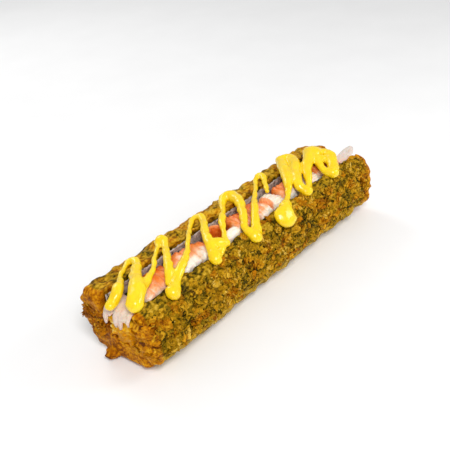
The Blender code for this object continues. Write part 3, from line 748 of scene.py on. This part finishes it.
def in_slot(points):
    """How surely each point belongs to the slot's inside walls, from 0 to 1."""
    _, y, z = points.T
    return fall(np.abs(y - SLOT_CENTRE), slot_half_width(z) + 0.7, 1) * (z > SLOT_FLOOR - 1)


def fried_at(points):
    """How brown each point of the crust is fried: the ends most."""
    x, y, z = points.T
    near_face = fall(x, mouth_shift(y, z) + NEAR_FACE, 3)
    far_face = rise(x + far_shift(y), FAR_FACE, 9)
    low = fall(z, 9, 9) * fall(x, -70, 14)
    return np.clip(0.95 * near_face + 0.75 * far_face + 0.3 * low, 0, 1)


def skin_at(points):
    """Where the crust is smooth, with few crumbs: the lips in patches, the far wall and rim, and low down."""
    x, y, z = points.T
    patches = np.array([0.8 + 1.1 * wobble(point, 5.0, 70.0) for point in points])
    lips = rise(z, LIP_BOTTOM, 3) * np.clip(patches + 0.8 * (x < -56), 0.1, 1)
    far_wall = 0.97 * rise(y, FAR_WALL, 2) * rise(z, 29.5, 3)
    low_down = 0.97 * fall(z, 18, 7)
    far_rim = 0.95 * rise(x + far_shift(y), FAR_RIM, 8)
    return np.maximum.reduce([lips, far_wall, low_down, far_rim])


def beside_mouth(points):
    """The rim of the near mouth, where sticky rice has fried to amber."""
    x, y, z = points.T
    rim = fall(np.abs(y - SLOT_CENTRE), slot_half_width(z) + 9, 6) * (x < -84) * rise(z, 5, 6)
    return rim * np.clip((SLOT_CENTRE + 5 - y) / 4, 0.25, 1)


def make_crust(material):
    stations = crust_stations()
    rings = [crust_ring(x, inset) for x, inset in stations]
    tips = [sum(ring, Vector()) / CRUST_SIDES for ring in (rings[0], rings[-1])]
    crust = make_object("crust", loft(rings, *tips), material)
    past_end = LENGTH / 2 + 15
    above = HEIGHT + 15
    cutter = make_object("slot", loft([slot_ring(-past_end, above), slot_ring(past_end, above)]), material)
    apply_modifier(crust, "BOOLEAN", operation="DIFFERENCE", solver="EXACT", object=cutter)
    bpy.data.objects.remove(cutter, do_unlink=True)
    crust = join([crust, make_crumb_lump(material)])
    melt(crust, CRUST_VOXEL, 3)
    normals = read_faces(crust.data)[1]
    relieve_crust(crust)
    return crust, normals


def relief_at(point):
    """How high the crumbly relief stands at a point, from about 0 to 1."""
    swirl = Vector([wobble(point, 3.0, seed) for seed in (9.0, 20.0, 30.0)]) * 0.7
    near_two = noise.voronoi((Vector(point) + swirl) / 2.3)[0]
    lump = 1 - min(near_two[0] * 1.25, 1.0)
    crack = min((near_two[1] - near_two[0]) * 2.2, 1.0)
    broad = 0.5 + 0.5 * wobble(point, 4.5, 14.0)
    fine = 0.5 + wobble(point, 1.1, 4.0) * 0.5
    return 0.2 * lump + 0.25 * crack + 0.4 * broad + 0.15 * fine


def relieve_crust(crust):
    """Press crumbly relief into the crust, deep outside and slight inside the slot, and note it as 'height',
    a lightness with painted shade inside the slot and at the feet of the crumb heaps.
    """
    points, normals = read_points(crust.data)
    x, y, z = points.T
    inside, fried, skin = in_slot(points), fried_at(points), skin_at(points)
    heights = np.array([relief_at(point) for point in points])
    heaps = clusters(points)
    depth = CRUST_DEPTH * (1 - 0.8 * inside) * (1 - 0.6 * fried) * (1 - 0.8 * skin) * rise(z, 0, 2.5)
    points += normals * ((heights - RELIEF_LEVEL) * depth)[:, None]
    keep_in_box(points)
    write_points(crust.data, points)
    # Painted shade: the crust is darker at the feet of the crumb heaps, where shade falls between them,
    # except where it is smooth or fried.
    gap_shade = 0.42 * (1 - skin) * (1 - fried) * np.clip(1 - np.abs(heaps + 0.05) / 0.3, 0, 1)
    far_wall = rise(y, FAR_WALL, 2) * rise(z, 33, 3)
    # Fried parts are darker towards the far side, low down.
    darker_low_far_side = fried * rise(y, 2, 4) * fall(z, 31, 5)
    pale = skin * (1 - fried) * np.interp(z, (18, 26), (0.2, 0.04)) + 0.1 * far_wall * rise(x, -75, 30)
    # Painted shade: the relief's lightness is halved on the slot's inside walls, and the gap shade above is
    # taken off; the result is stored as 'height'.
    lightness = heights * (1 - 0.5 * inside) + pale + 0.14 * beside_mouth(points) * fried - gap_shade - 0.16 * darker_low_far_side
    add_value(crust.data, "height", np.clip(lightness, 0, 1))
    add_value(crust.data, "fried", np.clip(fried + 0.2 * far_wall, 0, 1))


def keep_in_box(points):
    """Hold points within the solids' box."""
    low, high = (np.array(corner, dtype=float) / MM for corner in CAD_BOX)
    np.clip(points, low, high, out=points)


# ---------------- crumbs

def lens_shape(sides):
    """A torn flake or a small lump: a rim between a point above and a point below."""
    angles = [math.tau * turn / sides for turn in range(sides)]
    points = [(math.cos(angle), math.sin(angle), 0.0) for angle in angles]
    points += [(0.0, 0.0, 1.0), (0.0, 0.0, -1.0)]
    faces = [(turn, (turn + 1) % sides, sides) for turn in range(sides)]
    faces += [((turn + 1) % sides, turn, sides + 1) for turn in range(sides)]
    return np.array(points), np.array(faces)


def curl_shape():
    """A longer flake to be curled: three four-sided rings between two tips."""
    points = [(-1.0, 0.0, 0.0)]
    for x, size in ((-0.55, 0.8), (0.0, 1.0), (0.55, 0.8)):
        points += [(x, size, 0.0), (x, 0.0, size), (x, -size, 0.0), (x, 0.0, -size)]
    points.append((1.0, 0.0, 0.0))
    faces = []
    for side in range(4):
        following = (side + 1) % 4
        faces.append((0, 1 + following, 1 + side))
        faces.append((13, 9 + side, 9 + following))
        for ring in (1, 5):
            faces.append((ring + side, ring + following, ring + 4 + following))
            faces.append((ring + side, ring + 4 + following, ring + 4 + side))
    return np.array(points), np.array(faces)


def clusters(points):
    """Where the crumbs lie in heaps, from about -1 between the heaps to 1 on them."""
    return np.array([0.5 * wobble(point, 6.5, 50.0) + 0.75 * wobble(point, 2.4, 60.0) for point in points])


def near_sauce(point, tree):
    """Whether a crumb there would touch the sauce."""
    place = Vector(point) * MM
    surface, normal, _, _ = tree.find_nearest(place, CRUMB_SAUCE_GAP * 4 * MM)
    return surface is not None and (place - surface).dot(normal) < CRUMB_SAUCE_GAP * MM


def crumb_spots(faces, heaps, count, coarse, draw, sauce_tree):
    """Draw places for crumbs outside the slot and clear of the sauce. Coarse ones keep to the heaps."""
    centres, normals, areas = faces
    z = centres[:, 2]
    fried = fried_at(centres)
    bare = np.clip(1 - 1.05 * skin_at(centres), 0, 1)
    share = areas * (in_slot(centres) < 0.05) * (z > 1.2) * (1 - 0.97 * fried) * bare
    if coarse:
        share = share * np.clip(0.12 + 1.6 * heaps, 0.02, 1)
    picked = draw.choice(len(areas), size=count, replace=False, p=share / share.sum())
    clear = [index for index in picked if not near_sauce(centres[index], sauce_tree)]
    return centres[clear], normals[clear], heaps[clear], fried[clear]


def shape_crumbs(base, lengths, sizes, draw):
    """The points of each crumb, uneven, to its own size and curled round a circle."""
    (slim, wide), (thin, thick), curled = sizes
    count = len(lengths)
    widths = lengths * draw.uniform(slim, wide, count)
    size = np.stack([lengths, widths, draw.uniform(thin, thick, count)], axis=1)
    points = base[None] * (1 + draw.uniform(-0.35, 0.35, (count, len(base), 1))) * size[:, None] / 2
    bend = (draw.uniform(0.15, curled, count) / lengths)[:, None]
    x, y, z = points.transpose(2, 0, 1)
    radius = 1 / bend - z
    return np.stack([radius * np.sin(x * bend), y, 1 / bend - radius * np.cos(x * bend)], axis=2)


def turn_crumbs(normals, stand, draw):
    """Axes for each crumb, which lies about flat on the crust and turned any way."""
    up = normals + draw.normal(0, stand, normals.shape)
    up /= np.linalg.norm(up, axis=1, keepdims=True)
    side = np.cross(up, draw.normal(0, 1, normals.shape))
    side /= np.linalg.norm(side, axis=1, keepdims=True)
    return np.stack([side, np.cross(up, side), up], axis=1)


def colour_crumbs(mesh, spots, lengths, corners, draw):
    """Note how light and how brown each crumb is, alike at all of its corners."""
    places, _, heaps, fried = spots
    tone = np.interp(places[:, 0], (-60, -20), (0.28, 0.36)) + 0.36 * heaps + 0.05 * lengths
    tone += draw.normal(0, 0.22, len(places))
    orange = np.array([1.7 * wobble(place, 5.5, 80.0) - 0.2 for place in places]) + 0.08 * (lengths - 1)
    brown = fried + np.clip(orange, 0, 0.85) + draw.uniform(-0.25, 0.25, len(places))
    add_value(mesh, "tone", np.repeat(np.clip(tone, 0, 1), corners))
    add_value(mesh, "fried", np.repeat(np.clip(brown, 0, 1), corners))


def make_crumbs(name, shape, spots, sizes, draw, material):
    """Scatter torn, curled crumbs, each its own shape, size and colour, as one mesh."""
    places, normals, _, _ = spots
    (short, long), *others, stand = sizes
    base, faces = shape
    count = len(places)
    lengths = short + (long - short) * draw.random(count) ** 1.8
    lengths *= np.interp(places[:, 0], (-75, -20), (1.1, 0.8))
    points = shape_crumbs(base, lengths, others, draw)
    points = np.einsum("nij,njk->nik", points, turn_crumbs(normals, stand, draw))
    points += (places + normals * draw.uniform(-0.1, 0.3, (count, 1)))[:, None]
    points = points.reshape(-1, 3)
    keep_in_box(points)
    mesh = bpy.data.meshes.new(name)
    shifted = (faces[None] + (np.arange(count) * len(base))[:, None, None]).reshape(-1, 3)
    mesh.from_pydata((points * MM).tolist(), [], shifted.tolist())
    mesh.update()
    colour_crumbs(mesh, spots, lengths, len(base), draw)
    return add_object(name, mesh, material)


def make_all_crumbs(crust, normals, sauce, material):
    tree = BVHTree.FromObject(sauce, bpy.context.evaluated_depsgraph_get())
    centres, _, areas = read_faces(crust.data)
    faces = (centres, normals, areas)
    heaps = clusters(centres)
    draw = np.random.RandomState(5)
    crumbs = []
    for name, shape, count, coarse, sizes in CRUMB_KINDS:
        spots = crumb_spots(faces, heaps, count, coarse, draw, tree)
        crumbs.append(make_crumbs(name, shape, spots, sizes, draw, material))
    return crumbs


# Kinds of crumb: name, shape, how many, and whether they keep to the heaps. Then their least and most length,
# width for their length and thickness, how far they curl and how much they stand up.
CRUMB_KINDS = (
    ("crumbs_curled", curl_shape(), 4600, True, ((1.8, 5.4), (0.35, 0.8), (0.35, 0.7), 1.7, 0.38)),
    ("crumbs_torn", lens_shape(6), 9000, True, ((1.0, 3.8), (0.4, 0.9), (0.25, 0.5), 1.2, 0.42)),
    ("crumbs_fine", lens_shape(4), 11000, False, ((0.35, 1.1), (0.6, 1.0), (0.3, 0.6), 0.3, 0.4)),
)


# ---------------- sauce

def strand_centre(x, across, height):
    """Where a strand's middle runs, low over the walls and higher over the filling."""
    point = on_outline(across)
    over_slot = max(0.0, 1 - ((point.y - SLOT_CENTRE) / SLOT_HALF_WIDTH) ** 4)
    point += outward(across) * (height / 2 - STRAND_SINK + STRAND_BRIDGE * over_slot)
    over_edge = smooth((NEAR_END_REACH - LENGTH / 2 - x) / NEAR_END_REACH)
    return Vector((x, point.y, point.z - FAR_END_DROOP * far_end(x) - NEAR_END_DROOP * over_edge))


def turn_radius(before, here, after):
    """Radius of the circle through three points."""
    area = (here - before).cross(after - here).length / 2
    sides = (here - before).length * (after - here).length * (after - before).length
    return sides / (4 * area) if area > 1e-6 else math.inf


def sauce_ring(centre, side, up, width, height):
    ring = []
    for index in range(SAUCE_SIDES):
        angle = math.tau * (index + 0.5) / SAUCE_SIDES - math.pi / 2
        ring.append(centre + side * math.cos(angle) * width / 2 + up * math.sin(angle) * height / 2)
    return ring


def round_end(centre, frame, way, width, height):
    """Rings that round a strand's end off, and the point at its tip."""
    along, side, up = frame
    rings = []
    for turn in (20, 40, 60, 75):
        out, size = quarter_turn(turn)
        place = centre + along * way * width * (out / 2)
        rings.append(sauce_ring(place, side, up, width * size, height * size))
    return rings, centre + along * way * width * 0.5


def make_strand(rows, material):
    path = smooth_path(rows, SAUCE_STEP)
    heights = [min(max(row.z * STRAND_FLATNESS, STRAND_LEAST_HEIGHT), STRAND_MOST_HEIGHT) for row in path]
    centres = [strand_centre(row.x, row.y, height) for row, height in zip(path, heights)]
    for index in range(1, len(path) - 1):
        path[index].z = min(path[index].z, TIGHT_TURN * turn_radius(*centres[index - 1:index + 2]))
    rings = []
    frames = []
    for index, (row, height) in enumerate(zip(path, heights)):
        along = heading(centres, index)
        side = along.cross(outward(row.y)).normalized()
        up = side.cross(along)
        place = (row.x, row.y, 0)
        lumpy = min(1.0, 5.0 / row.z) ** 2
        swell = 1 + lumpy * (0.10 * wobble(place, 3.2, 7.0) + 0.05 * wobble(place, 1.3, 8.0))
        sway = side * 0.25 * wobble(place, 3.5, 11.0)
        frames.append((along, side, up))
        rings.append(sauce_ring(centres[index] + sway, side, up, row.z * swell, height * swell))
    first, first_tip = round_end(centres[0], frames[0], -1, path[0].z, heights[0])
    last, last_tip = round_end(centres[-1], frames[-1], 1, path[-1].z, heights[-1])
    return make_object("strand", loft(first[::-1] + rings + last, first_tip, last_tip), material)


def make_drop(x, across, length, width, material):
    height = min(width * STRAND_FLATNESS, STRAND_MOST_HEIGHT)
    builder = bmesh.new()
    bmesh.ops.create_uvsphere(builder, u_segments=32, v_segments=20, radius=1.0)
    along = Vector((1, 0, 0))
    up = outward(across)
    axes = Matrix((along * length / 2, up.cross(along) * width / 2, up * height / 2)).transposed().to_4x4()
    axes.translation = strand_centre(x, across, height)
    bmesh.ops.transform(builder, matrix=axes, verts=builder.verts)
    return make_object("drop", builder, material)


def make_sauce(material):
    parts = [make_strand(rows, material) for rows in STRANDS]
    parts += [make_drop(*row, material) for row in DROPS]
    sauce = join(parts)
    sauce.name = "sauce"
    melt(sauce, SAUCE_VOXEL, 9)
    roughen(sauce, ((3.4, 0.16), (1.6, 0.05)), 3.0, 0.25)
    return sauce


# ---------------- rice and seaweed

def rice_rise(x):
    """How much higher the bed of rice is towards both mouths."""
    return sum(height * smooth((x - start) * way / RICE_RISE_REACH) for start, way, height in RICE_RISES)


def make_rice_bed(material):
    start, end = RICE_ENDS
    length = end - start - sum(RICE_INSETS)
    rings = []
    for index in range(RICE_STATIONS + 1):
        x = start + RICE_INSETS[0] + length * index / RICE_STATIONS
        ring = []
        for point in slot_ring(x, RICE_TOP, RICE_GAP):
            if point.z > RICE_TOP - 0.1:
                point.z += rice_rise(x) - RICE_SINK
            point.x += mouth_shift(point.y, point.z) * smooth((start + RICE_FADE - x) / RICE_FADE)
            ring.append(point)
        rings.append(ring)
    return make_object("rice_bed", loft(rings), material)


def make_grain(centre, turn, tilt, size, builder):
    """Add one bent, rounded grain."""
    made = bmesh.ops.create_uvsphere(builder, u_segments=10, v_segments=8, radius=1.0)["verts"]
    lay_down = Matrix.Rotation(math.pi / 2, 4, "Y")
    shape = Matrix.Diagonal([radius * size for radius in GRAIN_RADII] + [1.0])
    place = Matrix.Translation(centre) @ Matrix.Rotation(turn, 4, "Z") @ Matrix.Rotation(tilt, 4, "Y")
    bmesh.ops.transform(builder, matrix=place @ shape @ lay_down, verts=made)


def make_rice_grains(material):
    """Whole grains packed over the bed's two end faces and over its top by the mouths."""
    draw = random.Random(11)
    builder = bmesh.new()
    for face, way in zip(RICE_ENDS, (1, -1)):
        lowest = SLOT_FLOOR + 1.8
        spread = RICE_TOP + rice_rise(face) - SLOT_FLOOR - 2.4
        for index in range(MOUTH_GRAINS):
            z = lowest + spread * ((index * GOLDEN_SHARE) % 1)
            reach = max(0.0, slot_half_width(z) - GRAIN_CLEARANCE)
            y = SLOT_CENTRE + reach * (2 * (index + 0.5) / MOUTH_GRAINS - 1)
            x = face + (mouth_shift(y, z) if way > 0 else 0.0) + way * draw.uniform(-0.8, 1.2)
            turn = math.pi / 2 + draw.uniform(-0.8, 0.8)
            make_grain(Vector((x, y, z)), turn, draw.uniform(-0.7, 0.7), draw.uniform(0.72, 0.95), builder)
    return make_object("rice_grains", builder, material)


def make_rice(material):
    """The bed and its grains as one skin, creamy inside the roll and on the near mouth's far side."""
    rice = join([make_rice_bed(material), make_rice_grains(material)])
    melt(rice, RICE_VOXEL, 2)
    x, y, z = read_points(rice.data)[0].T
    cream = 0.22 + 0.5 * rise(y, 0.5, 4) * (x < 0) + (z - 22) / 34
    inside = rise(x, -84, 5) * fall(x, 74, 5)
    add_value(rice.data, "cream", np.clip(cream + 0.5 * inside, 0.05, 0.95))
    return rice


def make_nori(material):
    start, end = NORI_ENDS
    rings = []
    for index in range(NORI_STATIONS + 1):
        x = start + (end - start) * index / NORI_STATIONS
        outer, inner = [], []
        bottom = NORI_BOTTOM + max(rice_rise(x + side * 6.0) for side in (-1, 0, 1))
        ragged = NORI_RAGGED * noise.noise(Vector((x / 3, 7.0, 0.0))) + 0.3 * wobble((x, 0, 0), 1.2, 5.0)
        for step in range(NORI_ROWS + 1):
            share = step / NORI_ROWS
            z = bottom + (NORI_TOP - bottom) * share
            wave = NORI_WAVE * (noise.noise(Vector((x / 6, z / 9, 0.0))) - 1)
            wave += 0.12 * wobble((x, z, 0), 2.0, 3.0)
            y = SLOT_CENTRE + slot_half_width(z) - NORI_INSET + wave
            z += share * ragged
            z -= FAR_END_DROOP * far_end(x) * share
            outer.append(Vector((x, y, z)))
            inner.append(Vector((x, y - NORI_THICKNESS * 0.6, z)))
        rings.append(outer + inner[::-1])
    return make_object("nori_strip", loft(rings), material)


# ---------------- shrimps

def body_ring(centre, along, width, height):
    """An upright ring across a lying body, squarer than an oval, as its neighbours press on it."""
    side = along.cross(Vector((0, 0, 1))).normalized()
    ring = []
    for index in range(FLESH_SIDES):
        angle = math.tau * (index + 0.5) / FLESH_SIDES
        across = squarer(math.cos(angle), SHRIMP_POWER) * width / 2
        up = squarer(math.sin(angle), SHRIMP_POWER) * height / 2
        ring.append(centre + side * across + Vector((0, 0, up)))
    return ring


def blunt(t, bluntness, tip):
    """How thick a body is along its length: full in the middle, and down to the tip's share at both ends."""
    return math.sqrt(max(0.0, 1 - abs(2 * t - 1) ** bluntness)) * (1 - tip) + tip


def shingle(t, count):
    """Overlapping rings: the body swells over each segment and drops at its edge."""
    share = (t * count) % 1.0
    return share ** 1.5 * (1 - smooth((share - 0.86) / 0.14))


def roughen(item, layers, seed, most):
    """Push the points of a piece in and out along their normals."""
    points, normals = read_points(item.data)
    push = [sum(depth * wobble(point, size, seed) for size, depth in layers) for point in points]
    points += normals * np.clip(push, -most * 2, most)[:, None]
    keep_in_box(points)
    write_points(item.data, points)
    item.data.shade_smooth()


def make_shrimp(number, x, y, length, width, turn, material):
    middle = Vector((x, y, (FILLING_TOP + FILLING_BASE) / 2))
    spin = Matrix.Rotation(math.radians(turn), 3, "Z")
    along = spin @ Vector((1, 0, 0))
    sideways, down = SHRIMP_BEND
    count = round(length / FLESH_STEP)
    tiles = [shingle(index / count, SEGMENTS) for index in range(count + 1)]
    rings = []
    for index, tile in enumerate(tiles):
        t = index / count
        end_fall = abs(2 * t - 1) ** 3
        ripple = 1 - SEGMENT_CREASE + 2 * SEGMENT_CREASE * tile
        local = Vector(((t - 0.5) * length, -sideways * end_fall, -down * end_fall))
        body = blunt(t, SHRIMP_BLUNTNESS, SHRIMP_TIP) * ripple * (1 - SHRIMP_TAPER * t)
        rings.append(body_ring(middle + spin @ local, along, width * body, SHRIMP_HEIGHT * body))
    shrimp = make_object(f"shrimp_flesh_{number}", loft(rings), material)
    points, _ = read_points(shrimp.data)
    add_value(shrimp.data, "back", (points[:, 1] - y) / width + 0.56 + 0.12 * math.sin(number * 2.4))
    add_value(shrimp.data, "edge", np.repeat(tiles, FLESH_SIDES))
    roughen(shrimp, ((4.0, 0.45), (1.6, 0.3)), number * 3.7, 0.3)
    return shrimp


def make_curled_shrimp(material):
    x, y, radius, thickness = CURLED_SHRIMP
    first, round_by = CURL
    longer, wider = CURL_STRETCH
    tiles = [shingle(index / CURL_STATIONS, SEGMENTS + 1) for index in range(CURL_STATIONS + 1)]
    rings = []
    for index, tile in enumerate(tiles):
        t = index / CURL_STATIONS
        angle = math.radians(first + round_by * t)
        taper = blunt(t, 6, CURL_TIP)
        centre = Vector((x + radius * math.cos(angle) * longer, y + radius * math.sin(angle) * wider,
                         FILLING_BASE + CURL_LIFT + CURL_HEIGHT * 0.5 * taper))
        along = Vector((-math.sin(angle) * longer, math.cos(angle) * wider, 0)).normalized()
        size = taper * (0.94 + 0.1 * tile)
        rings.append(body_ring(centre, along, thickness * size, CURL_HEIGHT * taper))
    shrimp = make_object("shrimp_flesh_curled", loft(rings), material)
    points, _ = read_points(shrimp.data)
    away = np.hypot((points[:, 0] - x) / longer, (points[:, 1] - y) / wider)
    add_value(shrimp.data, "back", 0.95 - np.clip((away - radius + 1.2) / 3.0, 0, 1) * 0.7)
    add_value(shrimp.data, "edge", np.repeat(tiles, FLESH_SIDES))
    roughen(shrimp, ((2.6, 0.22), (1.2, 0.15)), 41.0, 0.2)
    return shrimp


# ---------------- crab stick

def make_chunk(number, centre, size, turn, material):
    """A short thick piece of crab stick, furrowed between its fibres, or a smooth pale lump."""
    power, furrowed, blushing, swell = CHUNK_LOOKS[number - 1]
    builder = bmesh.new()
    bmesh.ops.create_uvsphere(builder, u_segments=96, v_segments=56, radius=1.0)
    spin = Matrix.Rotation(math.radians(turn), 3, "Z") @ Matrix.Rotation(math.pi / 2, 3, "Y")
    for vertex in builder.verts:
        direction = vertex.co.copy()
        square = sum(abs(part) ** power for part in direction) ** (-1 / power)
        around = math.atan2(direction.y, direction.x)
        furrow = abs(math.sin(11 * around + 1.5 * wobble(direction, 0.8, number))) ** 0.5
        relief = furrowed * (furrow - 1 + 0.25 * wobble(direction, 0.25, 2.0))
        vertex.co = direction * square * (swell + relief)
        vertex.co = Vector((vertex.co.x * size[2], vertex.co.y * size[1], vertex.co.z * size[0])) / 2
        vertex.co = Vector(centre) + spin @ vertex.co
    chunk = make_object(f"crab_flesh_{number}", builder, material)
    points, _ = read_points(chunk.data)
    blush = np.array([blushing * smooth(wobble(point, 5.0, number * 5.0) - 0.1) for point in points])
    x, y, half_length, half_width = ORANGE_STREAK
    streak = 1 - np.hypot((points[:, 0] - x) / half_length, (points[:, 1] - y) / half_width)
    add_value(chunk.data, "blush", np.maximum(blush, np.clip(streak * 4, 0, 0.95)))
    return chunk


def add_ribbon(builder, path, widths, thickness):
    """Add a flat strip along a path, wide across Y, with fibres that stand up along it."""
    side = Vector((0, 1, 0))
    rings = []
    for index, (centre, width) in enumerate(zip(path, widths)):
        up = side.cross(heading(path, index)).normalized()
        ring = []
        for corner in range(RIBBON_SIDES):
            angle = math.tau * corner / RIBBON_SIDES
            fibre = 1 + 0.14 * math.sin(math.cos(angle) * width * 4.0 + 2 * wobble(centre, 4.0, 2.0))
            ring.append(centre + side * math.cos(angle) * width / 2
                        + up * math.sin(angle) * fibre * min(thickness, width) / 2)
        rings.append(ring)
    loft(rings, builder=builder)


def read_along(path, marks, values):
    """Values at marks along a route, read at each point of the smooth path through it."""
    return np.interp(np.linspace(0, marks[-1], len(path)), marks, values).tolist()


def shred_path(y, tip_y, tip):
    """The way of a strip along the filling, over the rim of the near end and down to its tip."""
    ruffle = SHRED_RUFFLE * math.sin(y * 2.1)
    path = []
    for inside, share, height in SHRED_ROUTE:
        path.append(Vector((inside + mouth_shift(y, height) - LENGTH / 2, y * share, height + ruffle)))
    for part in (0.5, 1.0):
        across = y + (tip_y - y) * part
        height = path[3].z + (tip - path[3].z) * part
        path.append(Vector((mouth_shift(across, height) - LENGTH / 2 - SHRED_OUT, across, height)))
    return path


def make_hanging_shreds(material):
    """Torn strips over the near mouth."""
    builder = bmesh.new()
    for y, tip_y, tip, width in HANGING_SHREDS:
        path = smooth_path(shred_path(y, tip_y, tip), RIBBON_STEP)
        widths = [width * part * (1.15 + 0.14 * wobble(point, 1.8, y))
                  for part, point in zip(read_along(path, *FINE_SHRED_WIDTHS), path)]
        add_ribbon(builder, path, widths, FINE_SHRED_THICKNESS)
    shreds = make_object("crab_fibres_near", builder, material)
    add_value(shreds.data, "blush", np.full(len(shreds.data.vertices), 0.03))
    return shreds


def make_far_shred(material):
    """A blade of crab stick with a torn tip."""
    builder = bmesh.new()
    path = smooth_path(FAR_SHRED, RIBBON_STEP)
    widths = read_along(path, range(len(FAR_SHRED)), FAR_SHRED_WIDTHS)
    add_ribbon(builder, path, [width * FAR_SHRED_SLIMMER for width in widths], FAR_SHRED_THICKNESS)
    shred = make_object("crab_fibres_far", builder, material)
    points, _ = read_points(shred.data)
    add_value(shred.data, "blush", np.clip((80 - points[:, 0]) / 20, 0.01, 0.3))
    return shred


# ---------------- the studio

def make_camera():
    camera = bpy.data.objects.new("camera", bpy.data.cameras.new("camera"))
    camera.data.lens = LENS
    camera.data.sensor_width = SENSOR
    camera.data.clip_start = 0.01
    axes = Matrix((CAMERA_RIGHT, CAMERA_UP, [-part for part in CAMERA_FORWARD])).transposed().to_4x4()
    axes.translation = Vector(CAMERA_PLACE) * MM
    camera.matrix_world = axes
    bpy.context.scene.collection.objects.link(camera)
    bpy.context.scene.camera = camera


def make_light(name, place, size, watts):
    light = bpy.data.lights.new(name, "AREA")
    light.shape = "DISK"
    light.size = size * MM
    light.energy = watts
    item = bpy.data.objects.new(name, light)
    item.location = Vector(place) * MM
    item.rotation_euler = (Vector(LIT_PLACE) - Vector(place)).to_track_quat("-Z", "Y").to_euler()
    bpy.context.scene.collection.objects.link(item)


def make_studio():
    builder = bmesh.new()
    bmesh.ops.create_grid(builder, x_segments=1, y_segments=1, size=FLOOR_SIZE / 2)
    floor = make_object("floor", builder, paint_floor())
    floor.location.z = -FLOOR_DROP * MM
    for row in LIGHTS:
        make_light(*row)
    world = bpy.data.worlds.new("studio")
    world.use_nodes = True
    backdrop = world.node_tree.nodes["Background"]
    backdrop.inputs["Color"].default_value = (1.0, 1.0, 1.0, 1.0)
    backdrop.inputs["Strength"].default_value = BACKDROP_STRENGTH
    bpy.context.scene.world = world
    bpy.context.scene.view_settings.view_transform = "Standard"


# ---------------- the whole

def dress(piece, slot, *nodes):
    """Every piece rides on the one body and stands for the solids it replaces; its slot is not used."""
    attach(piece, "root")
    if nodes:
        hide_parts(*nodes)


def main():
    make_camera()
    make_studio()
    crust_paint, crumb_paint = paint_crust(), paint_crumbs()
    rice_paint, shrimp_paint, crab_paint = paint_rice(), paint_shrimp(), paint_crab("crab", (1.0, 1.0, 1.0))

    sauce = make_sauce(paint_sauce())
    dress(sauce, "sauce", "roll")
    crust, crust_normals = make_crust(crust_paint)
    dress(crust, "crust", "roll")
    for crumbs in make_all_crumbs(crust, crust_normals, sauce, crumb_paint):
        dress(crumbs, "crust")

    dress(make_rice(rice_paint), "rice", "rice")
    dress(make_nori(paint_nori()), "nori", "nori")
    for number, row in enumerate(SHRIMPS, start=1):
        dress(make_shrimp(number, *row, shrimp_paint), "shrimp", f"shrimp_{number}")
    dress(make_curled_shrimp(shrimp_paint), "shrimp", "shrimp_curled")
    for number, (centre, size, turn) in enumerate(CRAB_CHUNKS, start=1):
        dress(make_chunk(number, centre, size, turn, crab_paint), "crab", f"crab_chunk_{number}")
    dress(make_hanging_shreds(paint_crab("shreds", NEAR_SHREDS_SHADE)), "crab", "crab_shreds_near")
    dress(make_far_shred(paint_crab("far shred", FAR_SHRED_SHADE)), "crab", "crab_shred_far")


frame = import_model()
CAD_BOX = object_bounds()
main()
